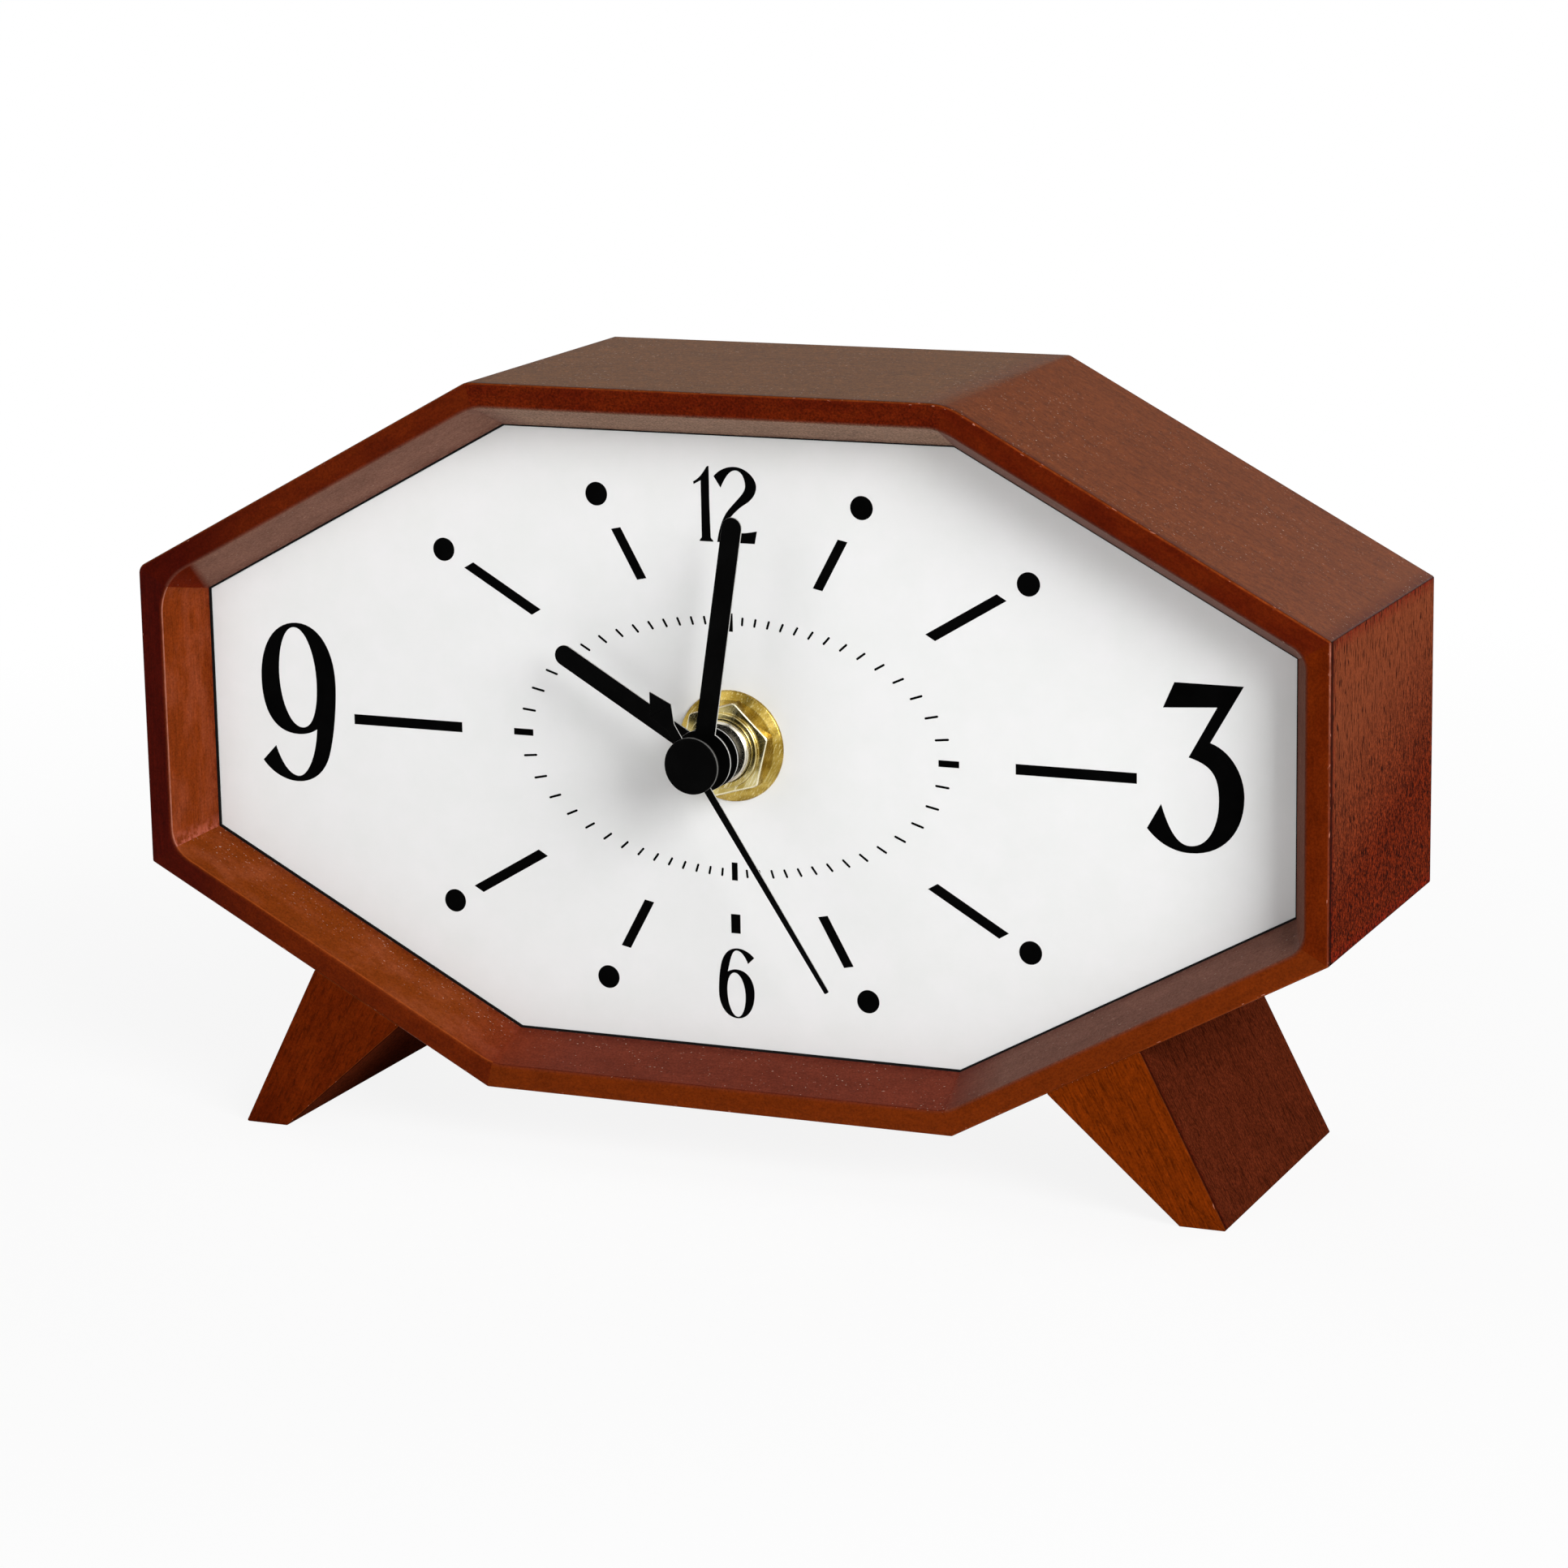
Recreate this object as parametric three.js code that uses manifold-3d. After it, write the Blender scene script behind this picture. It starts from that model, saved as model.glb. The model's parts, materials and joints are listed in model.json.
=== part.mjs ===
import * as THREE from 'three';
import { mergeVertices } from 'three/addons/utils/BufferGeometryUtils.js';
import Module from 'manifold-3d';

const wasm = await Module();
wasm.setup();

// A free-standing wooden desk clock: eight mitred staves round an open octagon, a white dial on a board,
// two splayed feet, three black hands, and a battery quartz movement held to the board by one brass nut.
// Lengths are in millimetres. X runs to the viewer's right, Y runs back from the viewer, and Z runs up.

// Case
const caseWidth = 200;
const caseHeight = 113.8;
const caseDepth = 55.6;
const topSideLength = 79.8;
const endSideLength = 49;
const rimWidth = 3.8;
const lipWidth = 7.85;
const wallThickness = 5.5;
const dialRecess = 9.5;

// Feet, measured along the lower slanting side from its bottom corner
const footSeatStart = 17.8;
const footSeatWidth = 17.1;
const footDepth = 54;
const footDrop = 10.3;
const toeWidth = 7.5;
const toeInset = 15.6;
const glueLine = 0.1;

// Foot screws, driven from inside the case
const screwDiameter = 3.5;
const screwHeadDiameter = 7;
const screwHeadHeight = 2.2;
const screwLength = 18;
const screwTipLength = 3;
const screwFrontDepth = 22;
const screwRearDepth = 42;

// Fits
const runningGap = 0.3;
const pressGap = 0.1;
const cutOverrun = 1;

// Dial, its board, and the blocks that hold the board
const dialThickness = 0.5;
const boardThickness = 3;
const boardPlay = 0.3;
const blockLength = 24;
const blockHeight = 7;
const blockDepth = 10;

// Movement case
const movementSize = 56;
const movementWall = 1.4;
const movementCorner = 3;
const floorThickness = 1.2;
const coverThickness = 1.4;
const gasketDiameter = 26;
const gasketThickness = 1;
const postDiameter = 3;
const clipThickness = 1;
const clipWidth = 6;
const clipReach = 4;
const bossHeight = 3;

// Battery and its contacts
const batteryDiameter = 14.5;
const batteryLength = 49.5;
const batteryNubDiameter = 5.5;
const batteryNubLength = 1;
const contactThickness = 0.4;
const contactDepth = 5;
const contactTab = 3;

// Bush, washer and nut
const bushDiameter = 10;
const bushReach = 5.3;
const bushFlangeDiameter = 14;
const bushFlangeThickness = 0.8;
const washerDiameter = 17.8;
const washerThickness = 1;
const washerEdge = 0.4;
const nutAcrossFlats = 13.6;
const nutHeight = 2.3;
const nutChamferDepth = 0.6;
const nutChamferRun = 1.2;
const nutCollarDiameter = 12;
const nutCollarHeight = 0.7;
const nutAngle = 16;

// Shafts, one inside the other
const secondsArborDiameter = 1.2;
const minuteTubeDiameter = 3.2;
const hourPipeDiameter = 5;

// Hands, with the gaps between them measured from the front of the dial
const hourHandHeight = 8.3;
const hourToMinuteGap = 2.4;
const minuteToSecondGap = 3;
const handThickness = 0.4;
const secondHandThickness = 0.3;
const handWidth = 3.3;
const hourHandLength = 30;
const minuteHandLength = 38.8;
const secondHandLength = 40.6;
const hubDiameter = 9.7;
const hubThickness = 0.9;
const secondHubDiameter = 3;
const secondHubLength = 1.8;
const capDiameter = 8.9;
const capThickness = 0.9;
const capEdge = 0.3;
const needleRootWidth = 1.3;
const needleTipWidth = 0.8;
const tailLength = 13.2;
const tailShoulder = 9.8;
const tailNeck = 6.9;
const tailBarbWidth = 4.2;
const tailNeckWidth = 1.6;

// Time shown, as each hand's angle in degrees clockwise from the twelve
const hourHandAngle = 300.75;
const minuteHandAngle = 9;
const secondHandAngle = 147.6;

// Wheel train: tooth counts
const rotorTeeth = 6;
const intermediateTeeth = 36;
const intermediatePinionTeeth = 8;
const secondsTeeth = 40;
const secondsPinionTeeth = 6;
const thirdTeeth = 45;
const thirdPinionTeeth = 6;
const centreTeeth = 48;
const cannonTeeth = 8;
const minuteTeeth = 24;
const minutePinionTeeth = 6;
const hourTeeth = 24;
const settingTeeth = 8;

// Wheel train: distances between centres, and their directions in degrees from X towards Z
const thirdDistance = 10.08;
const thirdAngle = 150;
const minuteDistance = 9;
const minuteAngle = 20;
const intermediateDistance = 7.2;
const intermediateAngle = 60;
const rotorDistance = 6.16;
const rotorAngle = 60;
const settingAngle = 0;

// Wheel train: thicknesses
const wheelThickness = 1;
const layerGap = 0.4;
const plateThickness = 0.8;
const arborDiameter = 1.2;
const settingArborDiameter = 2;
const minutePostDiameter = 1.2;
const magnetDiameter = 6;

// Middle plate, measured from the centre shaft
const plateHalfWidth = 22;
const plateTop = 14;
const plateBottom = 9;
const platePostInset = 2;

// Motor
const statorThickness = 0.8;
const statorGap = 0.5;
const statorRim = 0.5;
const coreThickness = 1;
const coreWidth = 3;
const coilDiameter = 6.4;
const coilLength = 19;
const coilBore = 4;
const coilRise = 20.5;
const statorEarWidth = 3.5;
const statorFootWidth = 10;

// Circuit board, its quartz crystal and its chip
const circuitThickness = 0.8;
const circuitHeight = 11;
const circuitLift = 1;
const circuitEdge = 0.3;
const crystalDiameter = 2;
const crystalLength = 6;
const crystalInset = 5;
const chipDiameter = 7;
const chipHeight = 1.2;
const chipOffset = 9;

// Time-setting knob
const knobDiameter = 12;
const knobHeight = 5;
const knobFloor = 1.4;
const knobGap = 0.4;
const knobFlutes = 20;
const knobFluteDepth = 0.5;

// Proportions of a gear tooth: its reach past the pitch circle and below it in modules,
// and half its width at the root and at the tip in pitches
const addendumShare = 0.85;
const dedendumShare = 1.05;
const toothRootShare = 0.24;
const toothTipShare = 0.09;

// Facets on round pieces, by how much they show, and on a rounded corner
const roundSides = 48;
const smallSides = 24;
const tinySides = 12;
const cornerSides = 4;

// Finishes, as colour, roughness and metalness
const redWood = { color: 0x7d3616, roughness: 0.45, metalness: 0 };
const footWood = { color: 0x7c3a0c, roughness: 0.45, metalness: 0 };
const paleWood = { color: 0xb98d5c, roughness: 0.7, metalness: 0 };
const whiteDial = { color: 0xececec, roughness: 0.6, metalness: 0 };
const boardBrown = { color: 0x9a7850, roughness: 0.8, metalness: 0 };
const blackHand = { color: 0x101010, roughness: 0.45, metalness: 0 };
const brass = { color: 0xc9a23c, roughness: 0.25, metalness: 1 };
const nickel = { color: 0xd8d2c2, roughness: 0.25, metalness: 1 };
const steel = { color: 0x9a9c9e, roughness: 0.35, metalness: 1 };
const blackPlastic = { color: 0x1b1b1c, roughness: 0.5, metalness: 0 };
const whitePlastic = { color: 0xe6e4dc, roughness: 0.45, metalness: 0 };
const blackRubber = { color: 0x161616, roughness: 0.8, metalness: 0 };
const copper = { color: 0xb4622c, roughness: 0.4, metalness: 1 };
const circuitGreen = { color: 0x1f5a36, roughness: 0.5, metalness: 0 };
const batteryWrap = { color: 0x2c4a7a, roughness: 0.35, metalness: 0.2 };

// Heights and depths that follow from the sizes. Depths run back from the front of the case.
const halfWidth = caseWidth / 2;
const halfHeight = caseHeight / 2;
const gasketFront = dialRecess + dialThickness + boardThickness;
const movementFront = gasketFront + gasketThickness;
const floorDepth = movementFront + floorThickness;
const hourLayer = floorDepth + bushFlangeThickness + layerGap;
const minuteLayer = hourLayer + wheelThickness + layerGap;
const centreLayer = minuteLayer + wheelThickness + layerGap;
const plateLayer = centreLayer + wheelThickness + layerGap;
const plateBack = plateLayer + plateThickness;
const thirdLayer = plateBack + layerGap;
const secondsLayer = thirdLayer + wheelThickness + layerGap;
const intermediateLayer = secondsLayer + wheelThickness + layerGap;
const arborBack = intermediateLayer + wheelThickness + layerGap;
const bayBack = floorDepth + pressGap + batteryDiameter;
const coverFront = Math.max(arborBack + bossHeight, bayBack + pressGap - coverThickness);
const coverBack = coverFront + coverThickness;
const innerHalf = movementSize / 2 - movementWall;
const batteryRise = -innerHalf + batteryDiameter / 2 + runningGap;
const partitionTop = batteryRise + batteryDiameter / 2 + runningGap + movementWall;
const bushFront = dialRecess - bushReach;
const hourHandBack = dialRecess - hourHandHeight;
const hourHandFront = hourHandBack - handThickness;
const minuteHandBack = hourHandFront - hourToMinuteGap;
const minuteHandFront = minuteHandBack - handThickness;
const secondHandBack = minuteHandFront - minuteToSecondGap;
const secondHandFront = secondHandBack - secondHandThickness;
const capFront = secondHandFront - capThickness;

// Wheel centres, each at a distance and an angle from the one before it
function along(start, distance, degrees) {
  const angle = THREE.MathUtils.degToRad(degrees);
  return [start[0] + distance * Math.cos(angle), start[1] + distance * Math.sin(angle)];
}

const centre = [0, 0];
const thirdCentre = along(centre, thirdDistance, thirdAngle);
const minuteCentre = along(centre, minuteDistance, minuteAngle);
const intermediateCentre = along(centre, intermediateDistance, intermediateAngle);
const rotorCentre = along(intermediateCentre, rotorDistance, rotorAngle);

// Modules: twice the distance between two meshing centres over the sum of their teeth
const centreModule = (2 * thirdDistance) / (centreTeeth + thirdPinionTeeth);
const thirdModule = (2 * thirdDistance) / (thirdTeeth + secondsPinionTeeth);
const cannonModule = (2 * minuteDistance) / (minuteTeeth + cannonTeeth);
const hourModule = (2 * minuteDistance) / (hourTeeth + minutePinionTeeth);
const secondsModule = (2 * intermediateDistance) / (secondsTeeth + intermediatePinionTeeth);
const rotorModule = (2 * rotorDistance) / (intermediateTeeth + rotorTeeth);
const settingDistance = (cannonModule * (minuteTeeth + settingTeeth)) / 2;
const settingCentre = along(minuteCentre, settingDistance, settingAngle);

// The tooth angle that puts a gap of one gear opposite a tooth of the gear it meshes with
function meshPhase(otherPhase, otherTeeth, teeth, degrees) {
  const turn = 2 * Math.PI;
  const angle = THREE.MathUtils.degToRad(degrees);
  const offset = ((angle - otherPhase) * otherTeeth) / turn;
  return angle + Math.PI - ((0.5 - offset) * turn) / teeth;
}

const cannonPhase = 0;
const minutePhase = meshPhase(cannonPhase, cannonTeeth, minuteTeeth, minuteAngle);
const minutePinionPhase = 0;
const hourPhase = meshPhase(minutePinionPhase, minutePinionTeeth, hourTeeth, minuteAngle + 180);
const settingPhase = meshPhase(minutePhase, minuteTeeth, settingTeeth, settingAngle);
const centrePhase = 0;
const thirdPinionPhase = meshPhase(centrePhase, centreTeeth, thirdPinionTeeth, thirdAngle);
const thirdPhase = 0;
const secondsPinionPhase = meshPhase(thirdPhase, thirdTeeth, secondsPinionTeeth, thirdAngle + 180);
const secondsPhase = 0;
const intermediatePinionPhase = meshPhase(secondsPhase, secondsTeeth, intermediatePinionTeeth,
  intermediateAngle);
const intermediatePhase = 0;
const rotorPhase = meshPhase(intermediatePhase, intermediateTeeth, rotorTeeth, rotorAngle);

// Merges a geometry's corners and turns its faces outwards.
function outward(geometry) {
  const bare = geometry.clone();
  bare.deleteAttribute('normal');
  bare.deleteAttribute('uv');
  const merged = mergeVertices(bare);
  const points = merged.attributes.position;
  const index = merged.index.array;
  const corners = [new THREE.Vector3(), new THREE.Vector3(), new THREE.Vector3()];
  let volume = 0;
  for (let i = 0; i < index.length; i += 3) {
    corners.forEach((corner, k) => corner.fromBufferAttribute(points, index[i + k]));
    volume += corners[0].dot(corners[1].clone().cross(corners[2]));
  }
  if (volume < 0) {
    for (let i = 0; i < index.length; i += 3) {
      [index[i + 1], index[i + 2]] = [index[i + 2], index[i + 1]];
    }
  }
  return merged;
}

function solid(geometry) {
  const merged = outward(geometry);
  const vertProperties = new Float32Array(merged.attributes.position.array);
  const triVerts = new Uint32Array(merged.index.array);
  return new wasm.Manifold(new wasm.Mesh({ numProp: 3, vertProperties, triVerts }));
}

function surface(manifold) {
  const mesh = manifold.getMesh();
  const geometry = new THREE.BufferGeometry();
  geometry.setAttribute('position', new THREE.BufferAttribute(new Float32Array(mesh.vertProperties), 3));
  geometry.setIndex(new THREE.BufferAttribute(new Uint32Array(mesh.triVerts), 1));
  return geometry;
}

// Joins several closed geometries that run into each other.
function join(first, ...others) {
  return surface(others.reduce((sum, other) => sum.add(solid(other)), solid(first)));
}

// Cuts closed geometries out of another.
function cut(body, ...tools) {
  return surface(tools.reduce((rest, tool) => rest.subtract(solid(tool)), solid(body)));
}

function shared(first, second) {
  return surface(solid(first).intersect(solid(second)));
}

// A flat outline of [x, z] points, with round holes given as [x, z, radius, sides],
// carried back from one depth to another.
function slab(outline, front, back, holes = []) {
  const shape = new THREE.Shape(outline.map(([x, z]) => new THREE.Vector2(x, z)));
  for (const [x, z, radius, sides] of holes) {
    shape.holes.push(new THREE.Path(circle(x, z, radius, sides).map(([u, v]) => new THREE.Vector2(u, v))));
  }
  const geometry = new THREE.ExtrudeGeometry(shape, { depth: back - front, bevelEnabled: false });
  geometry.rotateX(Math.PI / 2);
  geometry.translate(0, back, 0);
  return geometry;
}

function circle(x, z, radius, sides) {
  const points = [];
  for (let i = 0; i < sides; i += 1) {
    const angle = (2 * Math.PI * i) / sides;
    points.push([x + radius * Math.cos(angle), z + radius * Math.sin(angle)]);
  }
  return points;
}

function rectangle(left, right, bottom, top) {
  return [[left, bottom], [right, bottom], [right, top], [left, top]];
}

function roundedSquare(half, corner, sides) {
  const points = [];
  for (const [signX, signZ, start] of [[1, 1, 0], [-1, 1, 1], [-1, -1, 2], [1, -1, 3]]) {
    for (let i = 0; i <= sides; i += 1) {
      const angle = (Math.PI / 2) * (start + i / sides);
      const x = signX * (half - corner) + corner * Math.cos(angle);
      points.push([x, signZ * (half - corner) + corner * Math.sin(angle)]);
    }
  }
  return points;
}

// A profile of [radius, depth] points turned about the line along Y through a centre.
// The profile closes on itself, or starts and ends on the axis.
function turned(profile, sides, place = centre) {
  const onAxis = profile[0][0] === 0 && profile[profile.length - 1][0] === 0;
  const points = profile.map(([radius, depth]) => new THREE.Vector2(radius, depth));
  if (!onAxis) {
    points.push(points[0].clone());
  }
  const geometry = new THREE.LatheGeometry(points, sides);
  geometry.translate(place[0], 0, place[1]);
  return geometry;
}

function rod(diameter, front, back, sides, place = centre) {
  const radius = diameter / 2;
  return turned([[0, front], [radius, front], [radius, back], [0, back]], sides, place);
}

function tube(outer, inner, front, back, sides, place = centre) {
  const profile = [[inner / 2, front], [outer / 2, front], [outer / 2, back], [inner / 2, back]];
  return turned(profile, sides, place);
}

// A spur gear whose teeth are trapezoids round the pitch circle.
function gear(teeth, module, phase, front, back, place, bore = 0) {
  const pitch = (2 * Math.PI) / teeth;
  const root = module * (teeth / 2 - dedendumShare);
  const tip = module * (teeth / 2 + addendumShare);
  const outline = [];
  for (let i = 0; i < teeth; i += 1) {
    const angle = phase + i * pitch;
    for (const [radius, share] of [[root, -toothRootShare], [tip, -toothTipShare],
      [tip, toothTipShare], [root, toothRootShare]]) {
      const spoke = angle + share * pitch;
      outline.push([place[0] + radius * Math.cos(spoke), place[1] + radius * Math.sin(spoke)]);
    }
  }
  const holes = bore > 0 ? [[place[0], place[1], bore / 2, tinySides]] : [];
  return slab(outline, front, back, holes);
}

// Corners of the octagon drawn in by a wall, from the top left corner clockwise.
function octagon(inset) {
  const topHalf = topSideLength / 2;
  const endHalf = endSideLength / 2;
  const run = halfWidth - topHalf;
  const rise = halfHeight - endHalf;
  const slope = Math.hypot(run, rise);
  const x = topHalf - (inset * (slope - run)) / rise;
  const z = endHalf - (inset * (slope - rise)) / run;
  const wide = halfWidth - inset;
  const tall = halfHeight - inset;
  return [[-x, tall], [x, tall], [wide, z], [wide, -z], [x, -tall], [-x, -tall], [-wide, -z], [-wide, z]];
}

// A stave's section, from its outer front edge round to its outer back edge, as [thickness, depth].
const staveSection = [
  [0, 0],
  [rimWidth, 0],
  [lipWidth, dialRecess],
  [wallThickness, dialRecess],
  [wallThickness, caseDepth],
  [0, caseDepth],
];

// One side of the case, mitred at both ends on the planes that it shares with its neighbours.
function stave(side) {
  const rings = [side, (side + 1) % 8].map((corner) => staveSection.map(([thickness, depth]) => {
    const [x, z] = octagon(thickness)[corner];
    return new THREE.Vector3(x, depth, z);
  }));
  const flat = staveSection.map(([thickness, depth]) => new THREE.Vector2(thickness, depth));
  const caps = THREE.ShapeUtils.triangulateShape(flat, []);
  const count = staveSection.length;
  const index = [];
  for (const [a, b, c] of caps) {
    index.push(a, b, c, count + a, count + c, count + b);
  }
  for (let i = 0; i < count; i += 1) {
    const next = (i + 1) % count;
    index.push(i, count + i, count + next, i, count + next, next);
  }
  const geometry = new THREE.BufferGeometry().setFromPoints(rings.flat());
  geometry.setIndex(index);
  return geometry;
}

// A foot's seat runs along the lower slanting side. The frame of that side has its origin
// at the bottom corner, one axis up the side and one square to it out of the case.
function slant(sign) {
  const corner = new THREE.Vector2(topSideLength / 2, -halfHeight);
  const upper = new THREE.Vector2(halfWidth, -endSideLength / 2);
  const up = upper.clone().sub(corner).normalize();
  const out = new THREE.Vector2(up.y, -up.x);
  return (run, distance) => {
    const point = corner.clone().addScaledVector(up, run).addScaledVector(out, distance);
    return [sign * point.x, point.y];
  };
}

const slantAngle = Math.atan2(halfHeight - endSideLength / 2, halfWidth - topSideLength / 2);
const screwDepths = [screwFrontDepth, screwRearDepth];
const screwRun = footSeatStart + footSeatWidth / 2;

function foot(sign) {
  const at = slant(sign);
  const toeOuter = halfWidth - toeInset;
  const ground = -halfHeight - footDrop;
  const outline = [
    at(footSeatStart, glueLine),
    [sign * (toeOuter - toeWidth), ground],
    [sign * toeOuter, ground],
    at(footSeatStart + footSeatWidth, glueLine),
  ];
  return slab(outline, 0, footDepth);
}

// Lays a piece that was turned about Y along the normal of a lower slanting side.
function drive(geometry, sign, depth) {
  const [x, z] = slant(sign)(screwRun, 0);
  geometry.rotateX(-Math.PI / 2);
  geometry.rotateY(sign * -slantAngle);
  geometry.translate(x, depth, z);
  return geometry;
}

// A countersunk screw, or the hole for it. Its head is flush with the inside of the wall.
function screwShape(play, reach) {
  const head = screwHeadDiameter / 2 + play;
  const shank = screwDiameter / 2 + play;
  const top = -wallThickness;
  const neck = top + screwHeadHeight + play;
  const end = top + reach + play;
  const tip = Math.max(end - screwTipLength, neck);
  return turned([[0, top], [head, top], [shank, neck], [shank, tip], [0, end]], tinySides);
}

function screwHole(sign, depth) {
  const head = screwHeadDiameter / 2 + pressGap;
  const mouth = rod(2 * head, -wallThickness - cutOverrun, -wallThickness, tinySides);
  return [screwShape(pressGap, screwLength), mouth].map((tool) => drive(tool, sign, depth));
}

const stavePieces = [
  'case_top', 'case_upper_right', 'case_right', 'case_lower_right',
  'case_bottom', 'case_lower_left', 'case_left', 'case_upper_left',
];

function caseStave(side) {
  const body = stave(side);
  const sign = { case_lower_right: 1, case_lower_left: -1 }[stavePieces[side]];
  if (!sign) {
    return body;
  }
  return cut(body, ...screwDepths.flatMap((depth) => screwHole(sign, depth)));
}

function footBlock(sign) {
  return cut(foot(sign), ...screwDepths.flatMap((depth) => screwHole(sign, depth)));
}

// Board and dial share one outline inside the rebate, and one hole for the bush.
function dialSheet(front, thickness) {
  const hole = [centre[0], centre[1], bushDiameter / 2 + runningGap, smallSides];
  return slab(octagon(wallThickness + boardPlay), front, front + thickness, [hole]);
}

// A block glued into the corner between a straight side and the back of the board.
function boardBlock(directionX, directionZ) {
  const wall = directionX === 0 ? halfHeight - wallThickness : halfWidth - wallThickness;
  const sign = directionX + directionZ;
  const low = Math.min(sign * wall, sign * (wall - blockHeight));
  const half = blockLength / 2;
  const outline = directionX === 0
    ? rectangle(-half, half, low, low + blockHeight)
    : rectangle(low, low + blockHeight, -half, half);
  return slab(outline, gasketFront, gasketFront + blockDepth);
}

function gasket() {
  return tube(gasketDiameter, bushDiameter + 2 * runningGap, gasketFront, movementFront, smallSides);
}

function bush() {
  const bore = (hourPipeDiameter + 2 * runningGap) / 2;
  const outer = bushDiameter / 2;
  const flange = bushFlangeDiameter / 2;
  const flangeBack = floorDepth + bushFlangeThickness;
  return turned([
    [bore, bushFront], [outer, bushFront], [outer, floorDepth],
    [flange, floorDepth], [flange, flangeBack], [bore, flangeBack],
  ], roundSides);
}

const washerFront = dialRecess - washerThickness;
const nutFront = washerFront - nutHeight;
const nutCorner = nutAcrossFlats / 2 / Math.cos(Math.PI / 6);

// The washer is flat under the nut and slopes to a thin rim.
function washer() {
  const bore = bushDiameter / 2 + pressGap;
  const flat = Math.min(nutCorner + pressGap, washerDiameter / 2 - washerEdge);
  const rim = washerDiameter / 2;
  return turned([
    [bore, washerFront], [flat, washerFront], [rim, dialRecess - washerEdge], [rim, dialRecess],
    [bore, dialRecess],
  ], roundSides);
}

// A hexagon with its front corners turned off and a round collar in front of it.
function hexNut() {
  const bore = bushDiameter / 2 + pressGap;
  const start = THREE.MathUtils.degToRad(nutAngle);
  const outline = [];
  for (let i = 0; i < 6; i += 1) {
    const angle = start + (i * Math.PI) / 3;
    outline.push([nutCorner * Math.cos(angle), nutCorner * Math.sin(angle)]);
  }
  const blank = turned([
    [0, nutFront], [nutCorner - nutChamferRun, nutFront], [nutCorner, nutFront + nutChamferDepth],
    [nutCorner, washerFront], [0, washerFront],
  ], roundSides);
  const hexagon = shared(slab(outline, nutFront - cutOverrun, washerFront), blank);
  const collar = rod(nutCollarDiameter, nutFront - nutCollarHeight, nutFront + nutChamferDepth, roundSides);
  const hole = rod(2 * bore, nutFront - nutCollarHeight - cutOverrun, washerFront + cutOverrun, roundSides);
  return cut(join(hexagon, collar), hole);
}

const postPlaces = [
  [-plateHalfWidth + platePostInset, -plateBottom + platePostInset],
  [plateHalfWidth - platePostInset, -plateBottom + platePostInset],
  [-plateHalfWidth + platePostInset, plateTop - platePostInset],
  [plateHalfWidth - platePostInset, plateTop - platePostInset],
];
const arborBossBack = centreLayer - layerGap - runningGap;
const circuitFront = floorDepth + circuitLift;
const circuitBack = circuitFront + circuitThickness;
const circuitTop = innerHalf - circuitEdge;
const circuitBottom = circuitTop - circuitHeight;
const contactBack = circuitBack + contactDepth;
const contactRise = circuitBottom + circuitHeight / 2;

// The movement's tray: a floor with posts and bosses, four walls, and a partition above the battery.
function movementTray() {
  const half = movementSize / 2;
  const block = slab(roundedSquare(half, movementCorner, cornerSides), movementFront, coverFront);
  const bay = slab(rectangle(-innerHalf, innerHalf, -innerHalf, partitionTop - movementWall),
    floorDepth, coverFront + cutOverrun);
  const room = slab(rectangle(-innerHalf, innerHalf, partitionTop, innerHalf),
    floorDepth, coverFront + cutOverrun);
  const hole = rod(bushDiameter + 2 * pressGap, movementFront - cutOverrun, floorDepth + cutOverrun,
    smallSides);
  const notchWidth = contactThickness + runningGap;
  const notches = [-1, 1].map((sign) => {
    const edges = [sign * innerHalf, sign * (innerHalf - notchWidth)];
    return slab(rectangle(Math.min(...edges), Math.max(...edges), partitionTop - movementWall - cutOverrun,
      partitionTop + cutOverrun), circuitBack - runningGap, contactBack + runningGap);
  });
  const root = floorDepth - floorThickness / 2;
  const posts = postPlaces.map((place) => rod(postDiameter, root, plateLayer, tinySides, place));
  const bosses = [
    rod(postDiameter, root, arborBossBack, tinySides, thirdCentre),
    rod(postDiameter, root, minuteLayer - runningGap, tinySides, settingCentre),
    rod(minutePostDiameter, root, minuteLayer + wheelThickness, tinySides, minuteCentre),
  ];
  const rests = [-1, 1].map((sign) => rod(postDiameter, root, circuitFront, tinySides,
    [sign * (innerHalf - circuitHeight / 2), contactRise]));
  return join(cut(block, bay, room, hole, ...notches), ...posts, ...bosses, ...rests);
}

const bossFront = arborBack + runningGap;

// The rear cover closes the wheel room, carries the rear pivots and clips inside the side walls.
function rearCover() {
  const half = movementSize / 2;
  const sheet = slab(roundedSquare(half, movementCorner, cornerSides), coverFront, coverBack);
  const opening = slab(rectangle(-half - cutOverrun, half + cutOverrun, -half - cutOverrun,
    partitionTop - movementWall), coverFront - cutOverrun, coverBack + cutOverrun);
  const knobHole = rod(settingArborDiameter + 2 * runningGap, coverFront - cutOverrun,
    coverBack + cutOverrun, tinySides, settingCentre);
  const root = coverFront + coverThickness / 2;
  const bosses = [centre, thirdCentre, intermediateCentre, rotorCentre].map((place) => (
    rod(postDiameter, bossFront, root, tinySides, place)
  ));
  const clips = [-1, 1].map((sign) => {
    const edges = [sign * (innerHalf - runningGap), sign * (innerHalf - runningGap - clipThickness)];
    return slab(rectangle(Math.min(...edges), Math.max(...edges), -clipWidth / 2, clipWidth / 2),
      coverFront - clipReach, root);
  });
  return join(cut(sheet, opening, knobHole), ...bosses, ...clips);
}

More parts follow.
